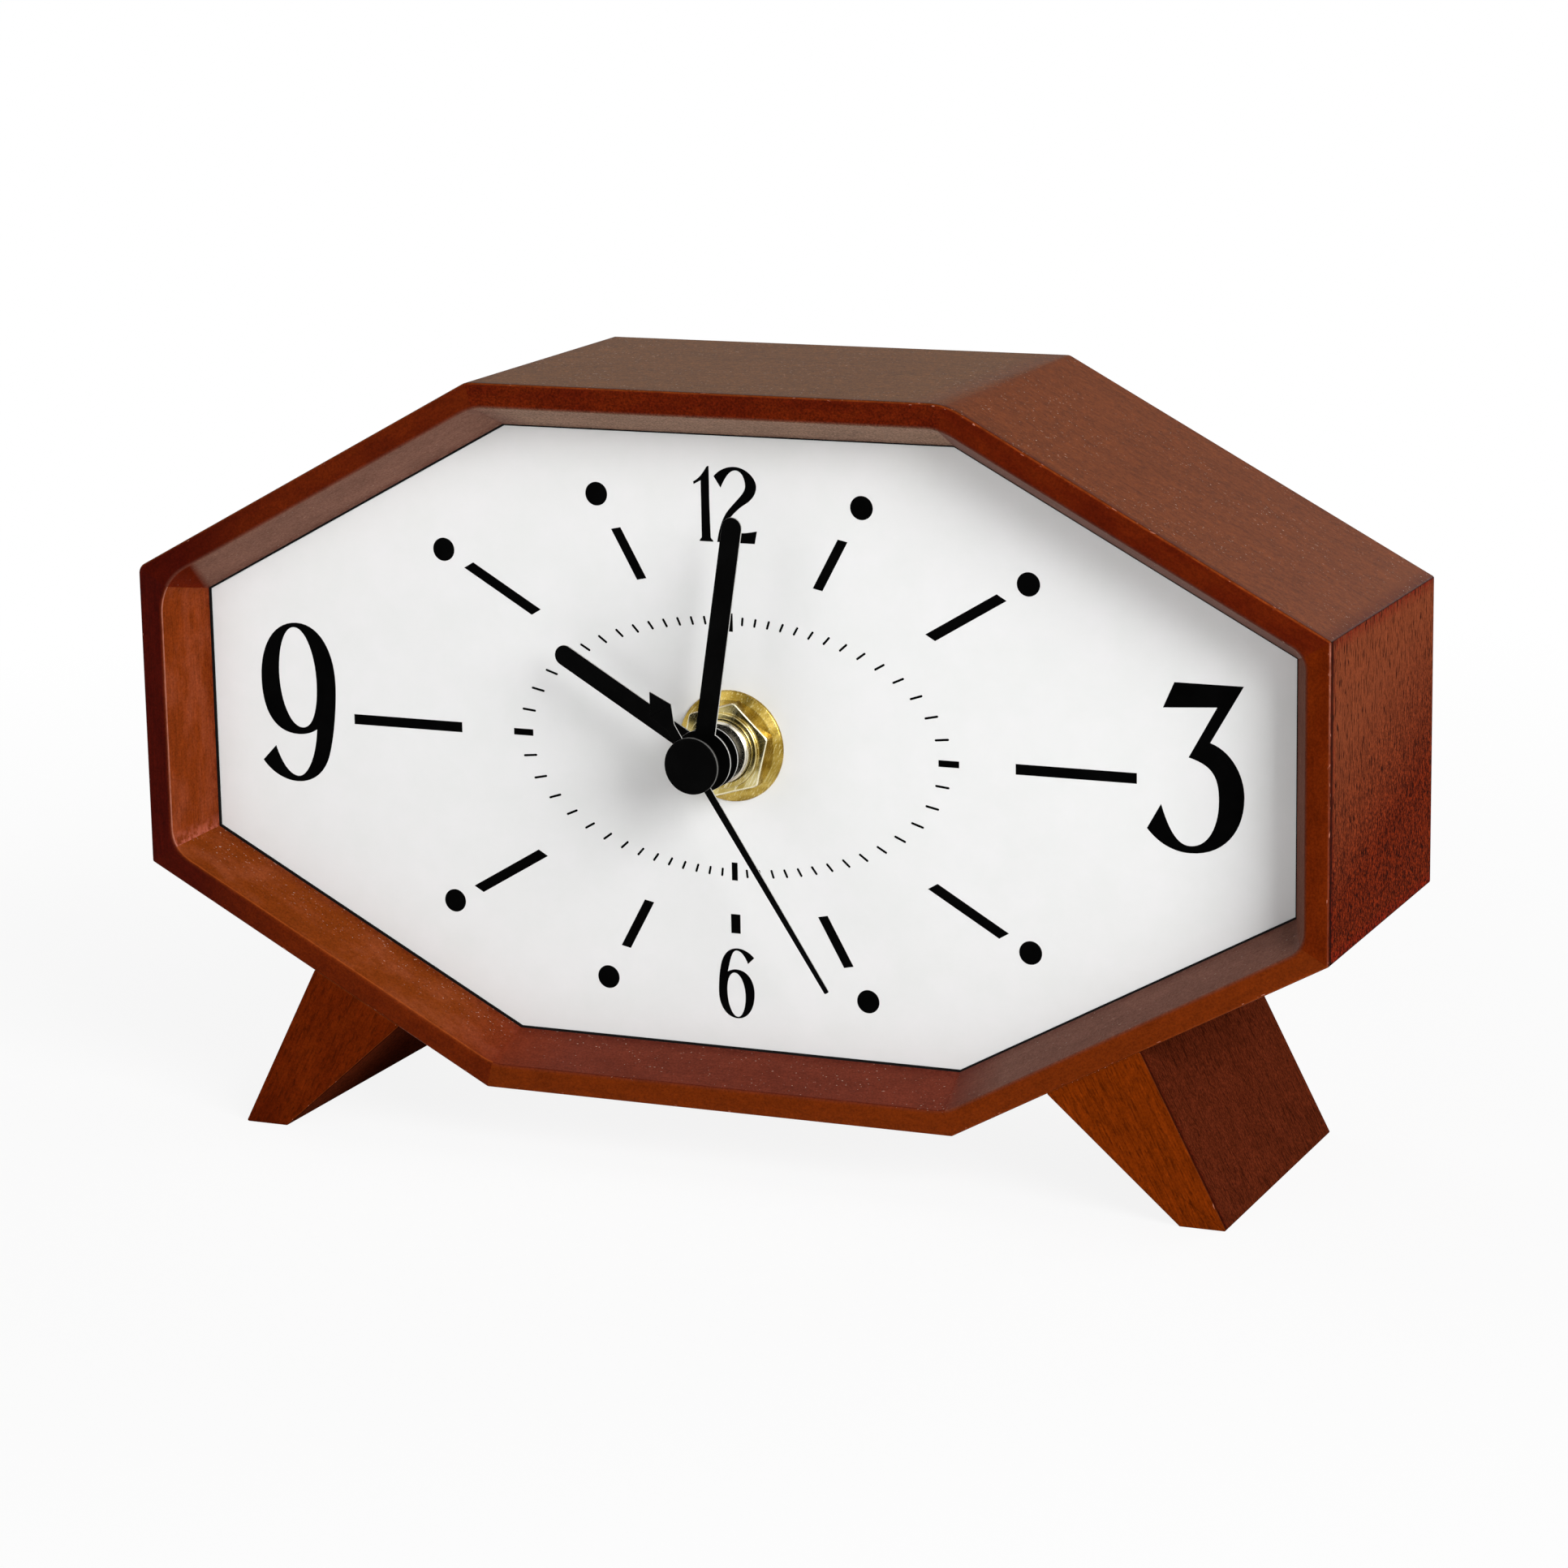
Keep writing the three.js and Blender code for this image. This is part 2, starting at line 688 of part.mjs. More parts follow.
function middlePlate() {
  const outline = rectangle(-plateHalfWidth, plateHalfWidth, -plateBottom, plateTop);
  const pinionTip = (module, teeth) => module * (teeth / 2 + addendumShare);
  const holes = [
    [centre[0], centre[1], minuteTubeDiameter / 2 + runningGap, tinySides],
    [thirdCentre[0], thirdCentre[1], pinionTip(centreModule, thirdPinionTeeth) + runningGap, tinySides],
    [settingCentre[0], settingCentre[1], settingArborDiameter / 2 + runningGap, tinySides],
  ];
  return slab(outline, plateLayer, plateBack, holes);
}

// Wheels. Each is one moulding with its pinion and its arbor or pipe.
function rotorArbor() {
  const pinion = gear(rotorTeeth, rotorModule, rotorPhase, intermediateLayer,
    intermediateLayer + wheelThickness, rotorCentre);
  const arbor = rod(arborDiameter, plateBack + runningGap, arborBack, tinySides, rotorCentre);
  return join(pinion, arbor);
}

function rotorMagnet() {
  const front = plateBack + layerGap;
  return tube(magnetDiameter, arborDiameter + 2 * pressGap, front, secondsLayer + wheelThickness,
    smallSides, rotorCentre);
}

function intermediateWheel() {
  const wheel = gear(intermediateTeeth, rotorModule, intermediatePhase, intermediateLayer,
    intermediateLayer + wheelThickness, intermediateCentre);
  const pinion = gear(intermediatePinionTeeth, secondsModule, intermediatePinionPhase, secondsLayer,
    intermediateLayer + wheelThickness / 2, intermediateCentre);
  const arbor = rod(arborDiameter, plateBack + runningGap, arborBack, tinySides, intermediateCentre);
  return join(wheel, pinion, arbor);
}

function secondsWheel() {
  const wheel = gear(secondsTeeth, secondsModule, secondsPhase, secondsLayer, secondsLayer + wheelThickness,
    centre);
  const pinion = gear(secondsPinionTeeth, thirdModule, secondsPinionPhase, thirdLayer,
    secondsLayer + wheelThickness / 2, centre);
  const arbor = rod(secondsArborDiameter, secondHandBack, arborBack, tinySides);
  return join(wheel, pinion, arbor);
}

function thirdWheel() {
  const wheel = gear(thirdTeeth, thirdModule, thirdPhase, thirdLayer, thirdLayer + wheelThickness,
    thirdCentre);
  const pinion = gear(thirdPinionTeeth, centreModule, thirdPinionPhase, centreLayer,
    thirdLayer + wheelThickness / 2, thirdCentre);
  const arbor = rod(arborDiameter, arborBossBack + runningGap, arborBack, tinySides, thirdCentre);
  return join(wheel, pinion, arbor);
}

// The centre wheel, its tube up to the minute hand and the cannon pinion on it turn once an hour.
function centreWheel() {
  const wheel = gear(centreTeeth, centreModule, centrePhase, centreLayer, centreLayer + wheelThickness,
    centre);
  const pinion = gear(cannonTeeth, cannonModule, cannonPhase, minuteLayer, centreLayer + wheelThickness / 2,
    centre);
  const pipe = rod(minuteTubeDiameter, minuteHandFront, centreLayer + wheelThickness, smallSides);
  const bore = rod(secondsArborDiameter + 2 * runningGap, minuteHandFront - cutOverrun,
    centreLayer + wheelThickness + cutOverrun, smallSides);
  return cut(join(wheel, pinion, pipe), bore);
}

function minuteWheel() {
  const bore = minutePostDiameter + 2 * runningGap;
  const wheel = gear(minuteTeeth, cannonModule, minutePhase, minuteLayer, minuteLayer + wheelThickness,
    minuteCentre, bore);
  const pinion = gear(minutePinionTeeth, hourModule, minutePinionPhase, hourLayer,
    minuteLayer + wheelThickness / 2, minuteCentre, bore);
  return join(wheel, pinion);
}

function hourWheel() {
  const back = hourLayer + wheelThickness;
  const wheel = gear(hourTeeth, hourModule, hourPhase, hourLayer, back, centre);
  const pipe = rod(hourPipeDiameter, hourHandFront, back, smallSides);
  const bore = rod(minuteTubeDiameter + 2 * runningGap, hourHandFront - cutOverrun, back + cutOverrun,
    smallSides);
  return cut(join(wheel, pipe), bore);
}

const knobFront = coverBack + knobGap;
const arborEnd = knobFront + knobHeight - knobFloor - pressGap;

function settingPinion() {
  const pinion = gear(settingTeeth, cannonModule, settingPhase, minuteLayer, minuteLayer + wheelThickness,
    settingCentre);
  const arbor = rod(settingArborDiameter, minuteLayer, arborEnd, tinySides, settingCentre);
  return join(pinion, arbor);
}

// A fluted knob with a blind bore for its arbor.
function settingKnob() {
  const outline = [];
  for (let i = 0; i < knobFlutes * 2; i += 1) {
    const angle = (Math.PI * i) / knobFlutes;
    const radius = knobDiameter / 2 - (i % 2) * knobFluteDepth;
    outline.push([settingCentre[0] + radius * Math.cos(angle), settingCentre[1] + radius * Math.sin(angle)]);
  }
  const body = slab(outline, knobFront, knobFront + knobHeight);
  const bore = rod(settingArborDiameter + 2 * pressGap, knobFront - cutOverrun, arborEnd + pressGap,
    tinySides, settingCentre);
  return cut(body, bore);
}

const coilMiddle = rotorCentre[0] + postDiameter / 2;
const statorFront = plateBack;
const statorBack = statorFront + statorThickness;
const coreBack = statorBack + coreThickness;
const coreHalf = coilLength / 2 + runningGap + statorEarWidth;

// A soft-iron plate round the magnet, with an ear under each end of the coil's core.
function stator() {
  const earInner = coreHalf - statorEarWidth;
  const neck = coilRise - coilDiameter / 2 - runningGap - pressGap;
  const top = coilRise + coreWidth / 2;
  const bottom = rotorCentre[1] - magnetDiameter / 2 - statorGap - statorRim;
  const outline = [
    [rotorCentre[0] - statorFootWidth / 2, bottom],
    [rotorCentre[0] + statorFootWidth / 2, bottom],
    [coilMiddle + coreHalf, neck], [coilMiddle + coreHalf, top],
    [coilMiddle + earInner, top], [coilMiddle + earInner, neck],
    [coilMiddle - earInner, neck], [coilMiddle - earInner, top],
    [coilMiddle - coreHalf, top], [coilMiddle - coreHalf, neck],
  ];
  return slab(outline, statorFront, statorBack,
    [[rotorCentre[0], rotorCentre[1], magnetDiameter / 2 + statorGap, smallSides]]);
}

function coilCore() {
  return slab(rectangle(coilMiddle - coreHalf, coilMiddle + coreHalf, coilRise - coreWidth / 2,
    coilRise + coreWidth / 2), statorBack, coreBack);
}

function coil() {
  const geometry = tube(coilDiameter, coilBore, -coilLength / 2, coilLength / 2, smallSides);
  geometry.rotateZ(Math.PI / 2);
  geometry.translate(coilMiddle, (statorBack + coreBack) / 2, coilRise);
  return geometry;
}

function circuitBoard() {
  const half = innerHalf - circuitEdge;
  return slab(rectangle(-half, half, circuitBottom, circuitTop), circuitFront, circuitBack);
}

function crystal() {
  const geometry = rod(crystalDiameter, -crystalLength / 2, crystalLength / 2, tinySides);
  geometry.rotateZ(Math.PI / 2);
  const x = -innerHalf + crystalInset + crystalLength / 2;
  geometry.translate(x, circuitBack + pressGap + crystalDiameter / 2, contactRise);
  return geometry;
}

// A low dome of resin over the chip
function chip() {
  const radius = chipDiameter / 2;
  const back = circuitBack + chipHeight;
  return turned([
    [0, circuitBack], [radius, circuitBack], [radius * Math.SQRT1_2, back - chipHeight * (1 - Math.SQRT1_2)],
    [0, back],
  ], smallSides, [-chipOffset, contactRise]);
}

const nubEnd = innerHalf - contactThickness - pressGap;
const batteryDepth = floorDepth + pressGap + batteryDiameter / 2;

function battery() {
  const start = nubEnd - batteryNubLength - batteryLength;
  const shoulder = nubEnd - batteryNubLength;
  const radius = batteryDiameter / 2;
  const nub = batteryNubDiameter / 2;
  const geometry = turned([
    [0, -nubEnd], [nub, -nubEnd], [nub, -shoulder], [radius, -shoulder], [radius, -start], [0, -start],
  ], smallSides);
  geometry.rotateZ(Math.PI / 2);
  geometry.translate(0, batteryDepth, batteryRise);
  return geometry;
}

// A bent strip along an end wall, from the battery's end up to a tab on the circuit board.
function contact(sign) {
  const outer = innerHalf;
  const tab = outer - contactTab;
  const inner = innerHalf - contactThickness;
  const low = -innerHalf + runningGap;
  const batteryEnd = sign > 0 ? nubEnd : -(nubEnd - batteryNubLength - batteryLength);
  const reach = Math.max(inner - batteryEnd - pressGap, 0);
  const spring = contactThickness + reach;
  const bend = batteryRise + batteryDiameter / 4;
  const start = batteryRise - batteryDiameter / 4;
  const tabTop = contactRise + contactThickness;
  const outline = [[outer, low], [outer, tabTop], [tab, tabTop], [tab, contactRise], [inner, contactRise]];
  if (reach > contactThickness) {
    outline.push([inner, bend], [outer - spring, batteryRise], [inner, start]);
  }
  outline.push([inner, low]);
  return slab(outline.map(([x, z]) => [sign * x, z]), circuitBack, contactBack);
}

// A straight bar with round ends from the centre up, with a round hub and a bore.
function barHand(length, front, boreDiameter) {
  const half = handWidth / 2;
  const outline = [];
  for (let i = 0; i <= tinySides / 2; i += 1) {
    const angle = (2 * Math.PI * i) / tinySides;
    outline.push([half * Math.cos(angle), length - half + half * Math.sin(angle)]);
  }
  outline.push([-half, 0], [half, 0]);
  const bar = slab(outline, front, front + handThickness);
  const hub = rod(hubDiameter, front, front + hubThickness, roundSides);
  const bore = rod(boreDiameter + 2 * pressGap, front - cutOverrun, front + hubThickness + cutOverrun,
    smallSides);
  return cut(join(bar, hub), bore);
}

// A thin needle with an arrow-shaped tail and a short sleeve for its arbor.
function needleHand() {
  const root = needleRootWidth / 2;
  const tip = needleTipWidth / 2;
  const neck = tailNeckWidth / 2;
  const barb = tailBarbWidth / 2;
  const outline = [
    [root, 0], [tip, secondHandLength], [-tip, secondHandLength], [-root, 0],
    [-neck, -tailNeck], [-barb, -tailShoulder], [0, -tailLength], [barb, -tailShoulder], [neck, -tailNeck],
  ];
  const needle = slab(outline, secondHandFront, secondHandBack);
  const sleeve = rod(secondHubDiameter, secondHandFront, secondHandBack + secondHubLength, smallSides);
  const bore = rod(secondsArborDiameter + 2 * pressGap, secondHandBack - pressGap,
    secondHandBack + secondHubLength + cutOverrun, tinySides);
  return cut(join(needle, sleeve), bore);
}

function handCap() {
  const radius = capDiameter / 2;
  return turned([
    [0, capFront], [radius - capEdge, capFront], [radius, capFront + capEdge], [radius, secondHandFront],
    [0, secondHandFront],
  ], roundSides);
}

// Adds one named piece to a group with its finish, turned clockwise by an angle in degrees.
function add(group, name, geometry, finish, degrees = 0) {
  const material = new THREE.MeshStandardMaterial(finish);
  const mesh = new THREE.Mesh(outward(geometry), material);
  mesh.geometry.computeVertexNormals();
  mesh.name = name;
  mesh.rotation.y = THREE.MathUtils.degToRad(degrees);
  group.add(mesh);
}

function buildCase(group) {
  stavePieces.forEach((name, side) => add(group, name, caseStave(side), redWood));
  for (const [name, sign] of [['left', -1], ['right', 1]]) {
    add(group, `foot_${name}`, footBlock(sign), footWood);
    ['front', 'rear'].forEach((end, i) => {
      add(group, `foot_screw_${name}_${end}`, drive(screwShape(0, screwLength), sign, screwDepths[i]), steel);
    });
  }
}

function buildDial(group) {
  add(group, 'dial_face', dialSheet(dialRecess, dialThickness), whiteDial);
  add(group, 'dial_board', dialSheet(dialRecess + dialThickness, boardThickness), boardBrown);
  for (const [name, x, z] of [['top', 0, 1], ['right', 1, 0], ['bottom', 0, -1], ['left', -1, 0]]) {
    add(group, `board_block_${name}`, boardBlock(x, z), paleWood);
  }
  add(group, 'brass_washer', washer(), brass);
  add(group, 'hex_nut', hexNut(), brass);
}

function buildMovement(group) {
  add(group, 'rubber_washer', gasket(), blackRubber);
  add(group, 'threaded_bush', bush(), nickel);
  add(group, 'movement_case', movementTray(), blackPlastic);
  add(group, 'movement_cover', rearCover(), blackPlastic);
  add(group, 'middle_plate', middlePlate(), whitePlastic);
  add(group, 'circuit_board', circuitBoard(), circuitGreen);
  add(group, 'quartz_crystal', crystal(), nickel);
  add(group, 'control_chip', chip(), blackPlastic);
  add(group, 'stator', stator(), steel);
  add(group, 'coil_core', coilCore(), steel);
  add(group, 'coil', coil(), copper);
  add(group, 'battery', battery(), batteryWrap);
  add(group, 'battery_contact_negative', contact(-1), nickel);
  add(group, 'battery_contact_positive', contact(1), nickel);
}

function buildTrain(group) {
  add(group, 'rotor_arbor', rotorArbor(), whitePlastic);
  add(group, 'rotor_magnet', rotorMagnet(), steel);
  add(group, 'intermediate_wheel', intermediateWheel(), whitePlastic);
  add(group, 'seconds_wheel', secondsWheel(), whitePlastic);
  add(group, 'third_wheel', thirdWheel(), whitePlastic);
  add(group, 'centre_wheel', centreWheel(), whitePlastic);
  add(group, 'minute_wheel', minuteWheel(), whitePlastic);
  add(group, 'hour_wheel', hourWheel(), whitePlastic);
  add(group, 'setting_pinion', settingPinion(), whitePlastic);
  add(group, 'setting_knob', settingKnob(), whitePlastic);
}

function buildHands(group) {
  add(group, 'hour_hand', barHand(hourHandLength, hourHandFront, hourPipeDiameter), blackHand,
    hourHandAngle);
  add(group, 'minute_hand', barHand(minuteHandLength, minuteHandFront, minuteTubeDiameter), blackHand,
    minuteHandAngle);
  add(group, 'second_hand', needleHand(), blackHand, secondHandAngle);
  add(group, 'second_hand_cap', handCap(), blackHand);
}

// The clock stands on z = 0 with its length and its depth centred on the origin.
const clock = new THREE.Group();
const works = new THREE.Group();
works.position.set(0, -(caseDepth + capFront) / 2, halfHeight + footDrop);
clock.add(works);
buildCase(works);
buildDial(works);
buildMovement(works);
buildTrain(works);
buildHands(works);

export default clock;
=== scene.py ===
import json
import math
from types import SimpleNamespace

import bmesh
import bpy
import numpy as np
from mathutils import Matrix, Vector

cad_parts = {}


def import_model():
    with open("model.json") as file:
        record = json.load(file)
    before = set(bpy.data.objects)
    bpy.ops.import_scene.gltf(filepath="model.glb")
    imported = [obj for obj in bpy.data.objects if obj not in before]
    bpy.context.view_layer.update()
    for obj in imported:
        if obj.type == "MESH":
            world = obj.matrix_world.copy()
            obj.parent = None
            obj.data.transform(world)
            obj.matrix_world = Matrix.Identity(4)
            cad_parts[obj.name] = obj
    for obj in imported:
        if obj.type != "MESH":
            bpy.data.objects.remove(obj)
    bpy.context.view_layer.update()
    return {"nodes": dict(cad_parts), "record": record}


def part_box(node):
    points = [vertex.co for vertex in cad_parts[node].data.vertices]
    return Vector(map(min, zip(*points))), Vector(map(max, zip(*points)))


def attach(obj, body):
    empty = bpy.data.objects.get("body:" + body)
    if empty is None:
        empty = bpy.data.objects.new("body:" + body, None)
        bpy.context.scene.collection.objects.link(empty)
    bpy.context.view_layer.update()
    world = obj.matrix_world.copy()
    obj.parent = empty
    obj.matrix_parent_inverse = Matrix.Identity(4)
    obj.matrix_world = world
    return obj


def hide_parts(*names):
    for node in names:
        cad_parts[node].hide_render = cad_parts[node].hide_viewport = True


# The looks of a wooden desk clock, built round its CAD model. Pieces are worked out in millimetres:
# x to the reader's right, depth back from the front of the case, z up from the middle of the dial.
# Their meshes are written in metres, in the frame of the CAD model.
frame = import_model()
nodes = frame["nodes"]
MM = 0.001


def linked(name, data):
    """An object in the scene that shows the data, unturned at the origin."""
    made = bpy.data.objects.new(name, data)
    bpy.context.scene.collection.objects.link(made)
    return made


# Camera
LENS_MM = 110.66
CAMERA_PLACE = (0.29932, -0.68755, 0.23001)
CAMERA_AZIMUTH = 23.366
CAMERA_ELEVATION = 12.94
CAMERA_ROLL = -1.02


def camera():
    """Looks along a line turned by the azimuth from +Y and tipped down by the elevation, then rolled."""
    azimuth = math.radians(CAMERA_AZIMUTH)
    elevation = math.radians(CAMERA_ELEVATION)
    roll = math.radians(CAMERA_ROLL)
    back = Vector((math.sin(azimuth) * math.cos(elevation),
                   -math.cos(azimuth) * math.cos(elevation), math.sin(elevation)))
    right = Vector((math.cos(azimuth), math.sin(azimuth), 0))
    up = back.cross(right)
    across = math.cos(roll) * right + math.sin(roll) * up
    above = -math.sin(roll) * right + math.cos(roll) * up
    data = bpy.data.cameras.new("camera")
    data.lens = LENS_MM
    made = linked("camera", data)
    made.matrix_world = Matrix.LocRotScale(
        Vector(CAMERA_PLACE), Matrix((across, above, back)).transposed(), None)
    bpy.context.scene.camera = made


camera()

# Sizes that the CAD model gives
ORIGIN = np.array([0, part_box("case_top")[0].y, sum(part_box("case_right"), Vector()).z / 2])
FRONT_Y, DIAL_Z = ORIGIN[1:].tolist()


def span(node):
    """Lowest and highest corner of a CAD node, in clock millimetres."""
    return [(np.array(corner) - ORIGIN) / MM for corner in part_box(node)]


HALF_WIDTH, _, END_HALF = span("case_right")[1]
TOP_HALF, CASE_DEPTH, HALF_HEIGHT = span("case_top")[1]
LIP = HALF_HEIGHT - span("case_top")[0][2]
DIAL_FRONT = span("dial_face")[0][1]
FOOT_DEPTH = span("foot_right")[1][1]

# Case section
RIM = 3.8
WALL = 5.5
DIAL_GAP = 0.25
LIP_BACK = DIAL_FRONT - DIAL_GAP
FRONT_ROUNDING = 0.45
RIM_ROUNDING = 0.7
LIP_ROUNDING = 0.3
BACK_ROUNDING = 0.6
CRISP = 0.15
# Spacing of the section's points, and how fast the outside's stain gives way round the front edge
SECTION_STEP = 1.5
FRONT_STAIN_TURN = 1.4
# Where the line on the rounded rim lies and half its width, as shares of the rim's turn. On the
# left and lower left that line is a painted highlight
RIM_LINE = 0.7
RIM_LINE_HALF = 0.3
STAVE_COLUMNS = 73
# What each point of the section knows: its shares of the outer and the opening's corner fillet, its
# part in the opening's splay, in the outer face and in the hollow behind the dial, its place on the
# rim's edge, and how much stain is rubbed off there, which also carries a painted highlight
SECTION_MARKS = ("outer_fillet", "opening_fillet", "splay", "outer", "inside", "rim", "wear")
# Corners are counted from the top left one clockwise. The outer ones are rubbed round by a fillet
# that shrinks from the front of the case to its back, the opening's by one that shrinks to the dial.
FRONT_FILLETS = (3, 11, 0.4, 0.4, 0.8, 0.8, 0.4, 1.8)
BACK_FILLETS = (0.6, 1.5, 0.4, 0.4, 0.6, 0.6, 0.4, 0.8)
OPENING_FILLETS = (9, 9, 4, 4.5, 9, 9, 6, 9)
# How clearly the joint shows on the outside at each corner, in the same order
MITRE_SHOWN = (0.3, 0.0, 1, 1, 0.4, 0.4, 1, 0.6)
MITRE_LINE = 0.22
# How far the stain has pooled from a joint. On some sides two stains run into each other at the
# stave's first and second end, this far on the outside and inside the opening, where most of the
# splay's colours are painted reflection
POOL_REACH = 2.4
SOFT_REACH = {0: (0, 7), 1: (7, 0)}
SOFT_SPLAY_REACH = {0: (7, 0), 3: (0, 10), 4: (0, 12), 5: (12, 0), 7: (0, 7)}
# How far the bevel in the opening's corner reaches along a stave from its first end, at the rim,
# and over what distance its mark fades. There a dark stain takes the place of the splay's painted
# reflection
BEVEL_REACH = {7: 6.5}
BEVEL_FADE = 5
# How far a painted highlight reaches from the fold at a stave's first end, inside the opening
FOLD_REACH = {6: 2.4}
STAVES = ("case_top", "case_upper_right", "case_right", "case_lower_right",
          "case_bottom", "case_lower_left", "case_left", "case_upper_left")

# Steps of a rounded corner and of a sheet's rounded edge, the straight step beside a corner, and
# the angle from which an edge stays sharp
ARC_STEPS = 6
EDGE_STEPS = 4
SUPPORT = 0.1
SHARP_ANGLE = math.radians(32)


def row_frame(points):
    """Points in clock millimetres as places in the CAD model's frame: point * MM + ORIGIN."""
    return (np.asarray(points, float) * MM + ORIGIN).reshape(-1, 3)


def quads(rows, columns, close_rows=False, close_columns=False):
    """Four-cornered faces of a grid whose points are counted row by row."""
    row, column = np.meshgrid(np.arange(rows if close_rows else rows - 1),
                              np.arange(columns if close_columns else columns - 1), indexing="ij")
    next_row = (row + 1) % rows
    next_column = (column + 1) % columns
    corners = [row * columns + column, row * columns + next_column,
               next_row * columns + next_column, next_row * columns + column]
    return np.stack(corners, -1).reshape(-1, 4).tolist()


def solid_points(flat, depth):
    """Points (x, depth, z) from flat ones (x, z) and how deep each of them lies."""
    return np.stack([flat[..., 0], np.broadcast_to(depth, flat.shape[:-1]), flat[..., 1]], -1)


def placed(name, mesh, body, slot, stands_for=(), material=None):
    """Sets a mesh in the scene, smooth but for its sharp edges, in its slot's finish or another."""
    mesh.polygons.foreach_set("use_smooth", [True] * len(mesh.polygons))
    mesh.set_sharp_from_angle(angle=SHARP_ANGLE)
    mesh.materials.clear()
    mesh.materials.append(material or FINISHES[slot])
    made = linked(name, mesh)
    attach(made, body)
    if stands_for:
        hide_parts(*stands_for)
    return made


def mesh_piece(name, shells, body, slot, stands_for=(), material=None, **marks):
    """One closed mesh from several shells, each its points in clock millimetres and its faces.

    Points that fall together are merged, faces are turned outwards, and marks are numbers kept at
    the points for the material to read.
    """
    points = np.vstack([row_frame(shell[0]) for shell in shells])
    faces = []
    start = 0
    for shell_points, shell_faces in shells:
        faces += [[start + corner for corner in face] for face in shell_faces]
        start += shell_points.size // 3
    mesh = bpy.data.meshes.new(name)
    mesh.from_pydata(points.tolist(), [], faces)
    for key, values in marks.items():
        mesh.attributes.new(key, "FLOAT", "POINT").data.foreach_set("value", np.ravel(values))
    work = bmesh.new()
    work.from_mesh(mesh)
    bmesh.ops.remove_doubles(work, verts=work.verts, dist=2e-7)
    bmesh.ops.recalc_face_normals(work, faces=work.faces)
    work.to_mesh(mesh)
    work.free()
    placed(name, mesh, body, slot, stands_for, material)


def contour(corners, steps=ARC_STEPS):
    """A closed outline whose corners (u, v, radius, ...) are arcs that touch both of their sides.

    A point of an arc lies at start + radius * (sin a * side + (1 - cos a) * inward), for a from 0 to
    the corner's turn. A short straight step on either side of an arc keeps the flats flat. Returns
    points, their normals, and what each corner gives after its radius, the last of them faded out
    towards the arc's ends.
    """
    table = np.array(corners, float)
    place, radius, rest = table[:, :2], table[:, 2], table[:, 3:]
    before = place - np.roll(place, 1, 0)
    before /= np.linalg.norm(before, axis=1)[:, None]
    after = np.roll(before, -1, 0)
    cross = before[:, 0] * after[:, 1] - before[:, 1] * after[:, 0]
    turn = np.arctan2(cross, (before * after).sum(1))
    side = np.sign(np.sum(turn))
    inward = np.stack([-before[:, 1], before[:, 0]], 1) * np.sign(turn)[:, None]
    points, normals, values = [], [], []
    for i, reach in enumerate(radius * np.tan(np.abs(turn) / 2)):
        angle = np.linspace(0, abs(turn[i]), steps + 1 if radius[i] else 2)[:, None]
        start = place[i] - before[i] * reach
        arc = start + radius[i] * (np.sin(angle) * before[i] + (1 - np.cos(angle)) * inward[i])
        tangent = np.cos(angle) * before[i] + np.sin(angle) * inward[i]
        if radius[i]:
            arc = np.vstack([arc[0] - SUPPORT * before[i], arc, arc[-1] + SUPPORT * after[i]])
            tangent = np.vstack([tangent[0], tangent, tangent[-1]])
        points.append(arc)
        normals.append(np.stack([tangent[:, 1], -tangent[:, 0]], 1) * side)
        given = np.repeat(rest[i][None], len(arc), 0)
        if radius[i] and given.shape[1]:
            given[1:-1, -1:] *= np.sin(np.pi * np.linspace(0, 1, len(arc) - 2))[:, None]
            given[[0, -1], -1] = 0
        values.append(given)
    return np.vstack(points), np.vstack(normals), np.vstack(values)


def refined(points, values, spacing):
    """Splits each long side of a closed outline into even steps no longer than the spacing."""
    following = np.roll(points, -1, 0)
    counts = np.ceil(np.linalg.norm(following - points, axis=1) / spacing).astype(int).clip(1)
    index = np.repeat(np.arange(len(points)), counts)
    share = (np.arange(len(index)) - np.repeat(np.cumsum(counts) - counts, counts)) / counts[index]
    return [part[index] + share[:, None] * (np.roll(part, -1, 0)[index] - part[index])
            for part in (points, values)]


OCTAGON = np.array([(-TOP_HALF, HALF_HEIGHT), (TOP_HALF, HALF_HEIGHT), (HALF_WIDTH, END_HALF),
                    (HALF_WIDTH, -END_HALF), (TOP_HALF, -HALF_HEIGHT), (-TOP_HALF, -HALF_HEIGHT),
                    (-HALF_WIDTH, -END_HALF), (-HALF_WIDTH, END_HALF)])


def rubbed(radius, reach, distance):
    """How far in a surface lies where a fillet of that radius rounds its corner, by the distance
    from the corner: radius - sqrt(radius^2 - (reach - distance)^2) up to the fillet's reach."""
    inside = np.clip(reach - distance, 0, radius)
    return radius - np.sqrt(radius ** 2 - inside ** 2)


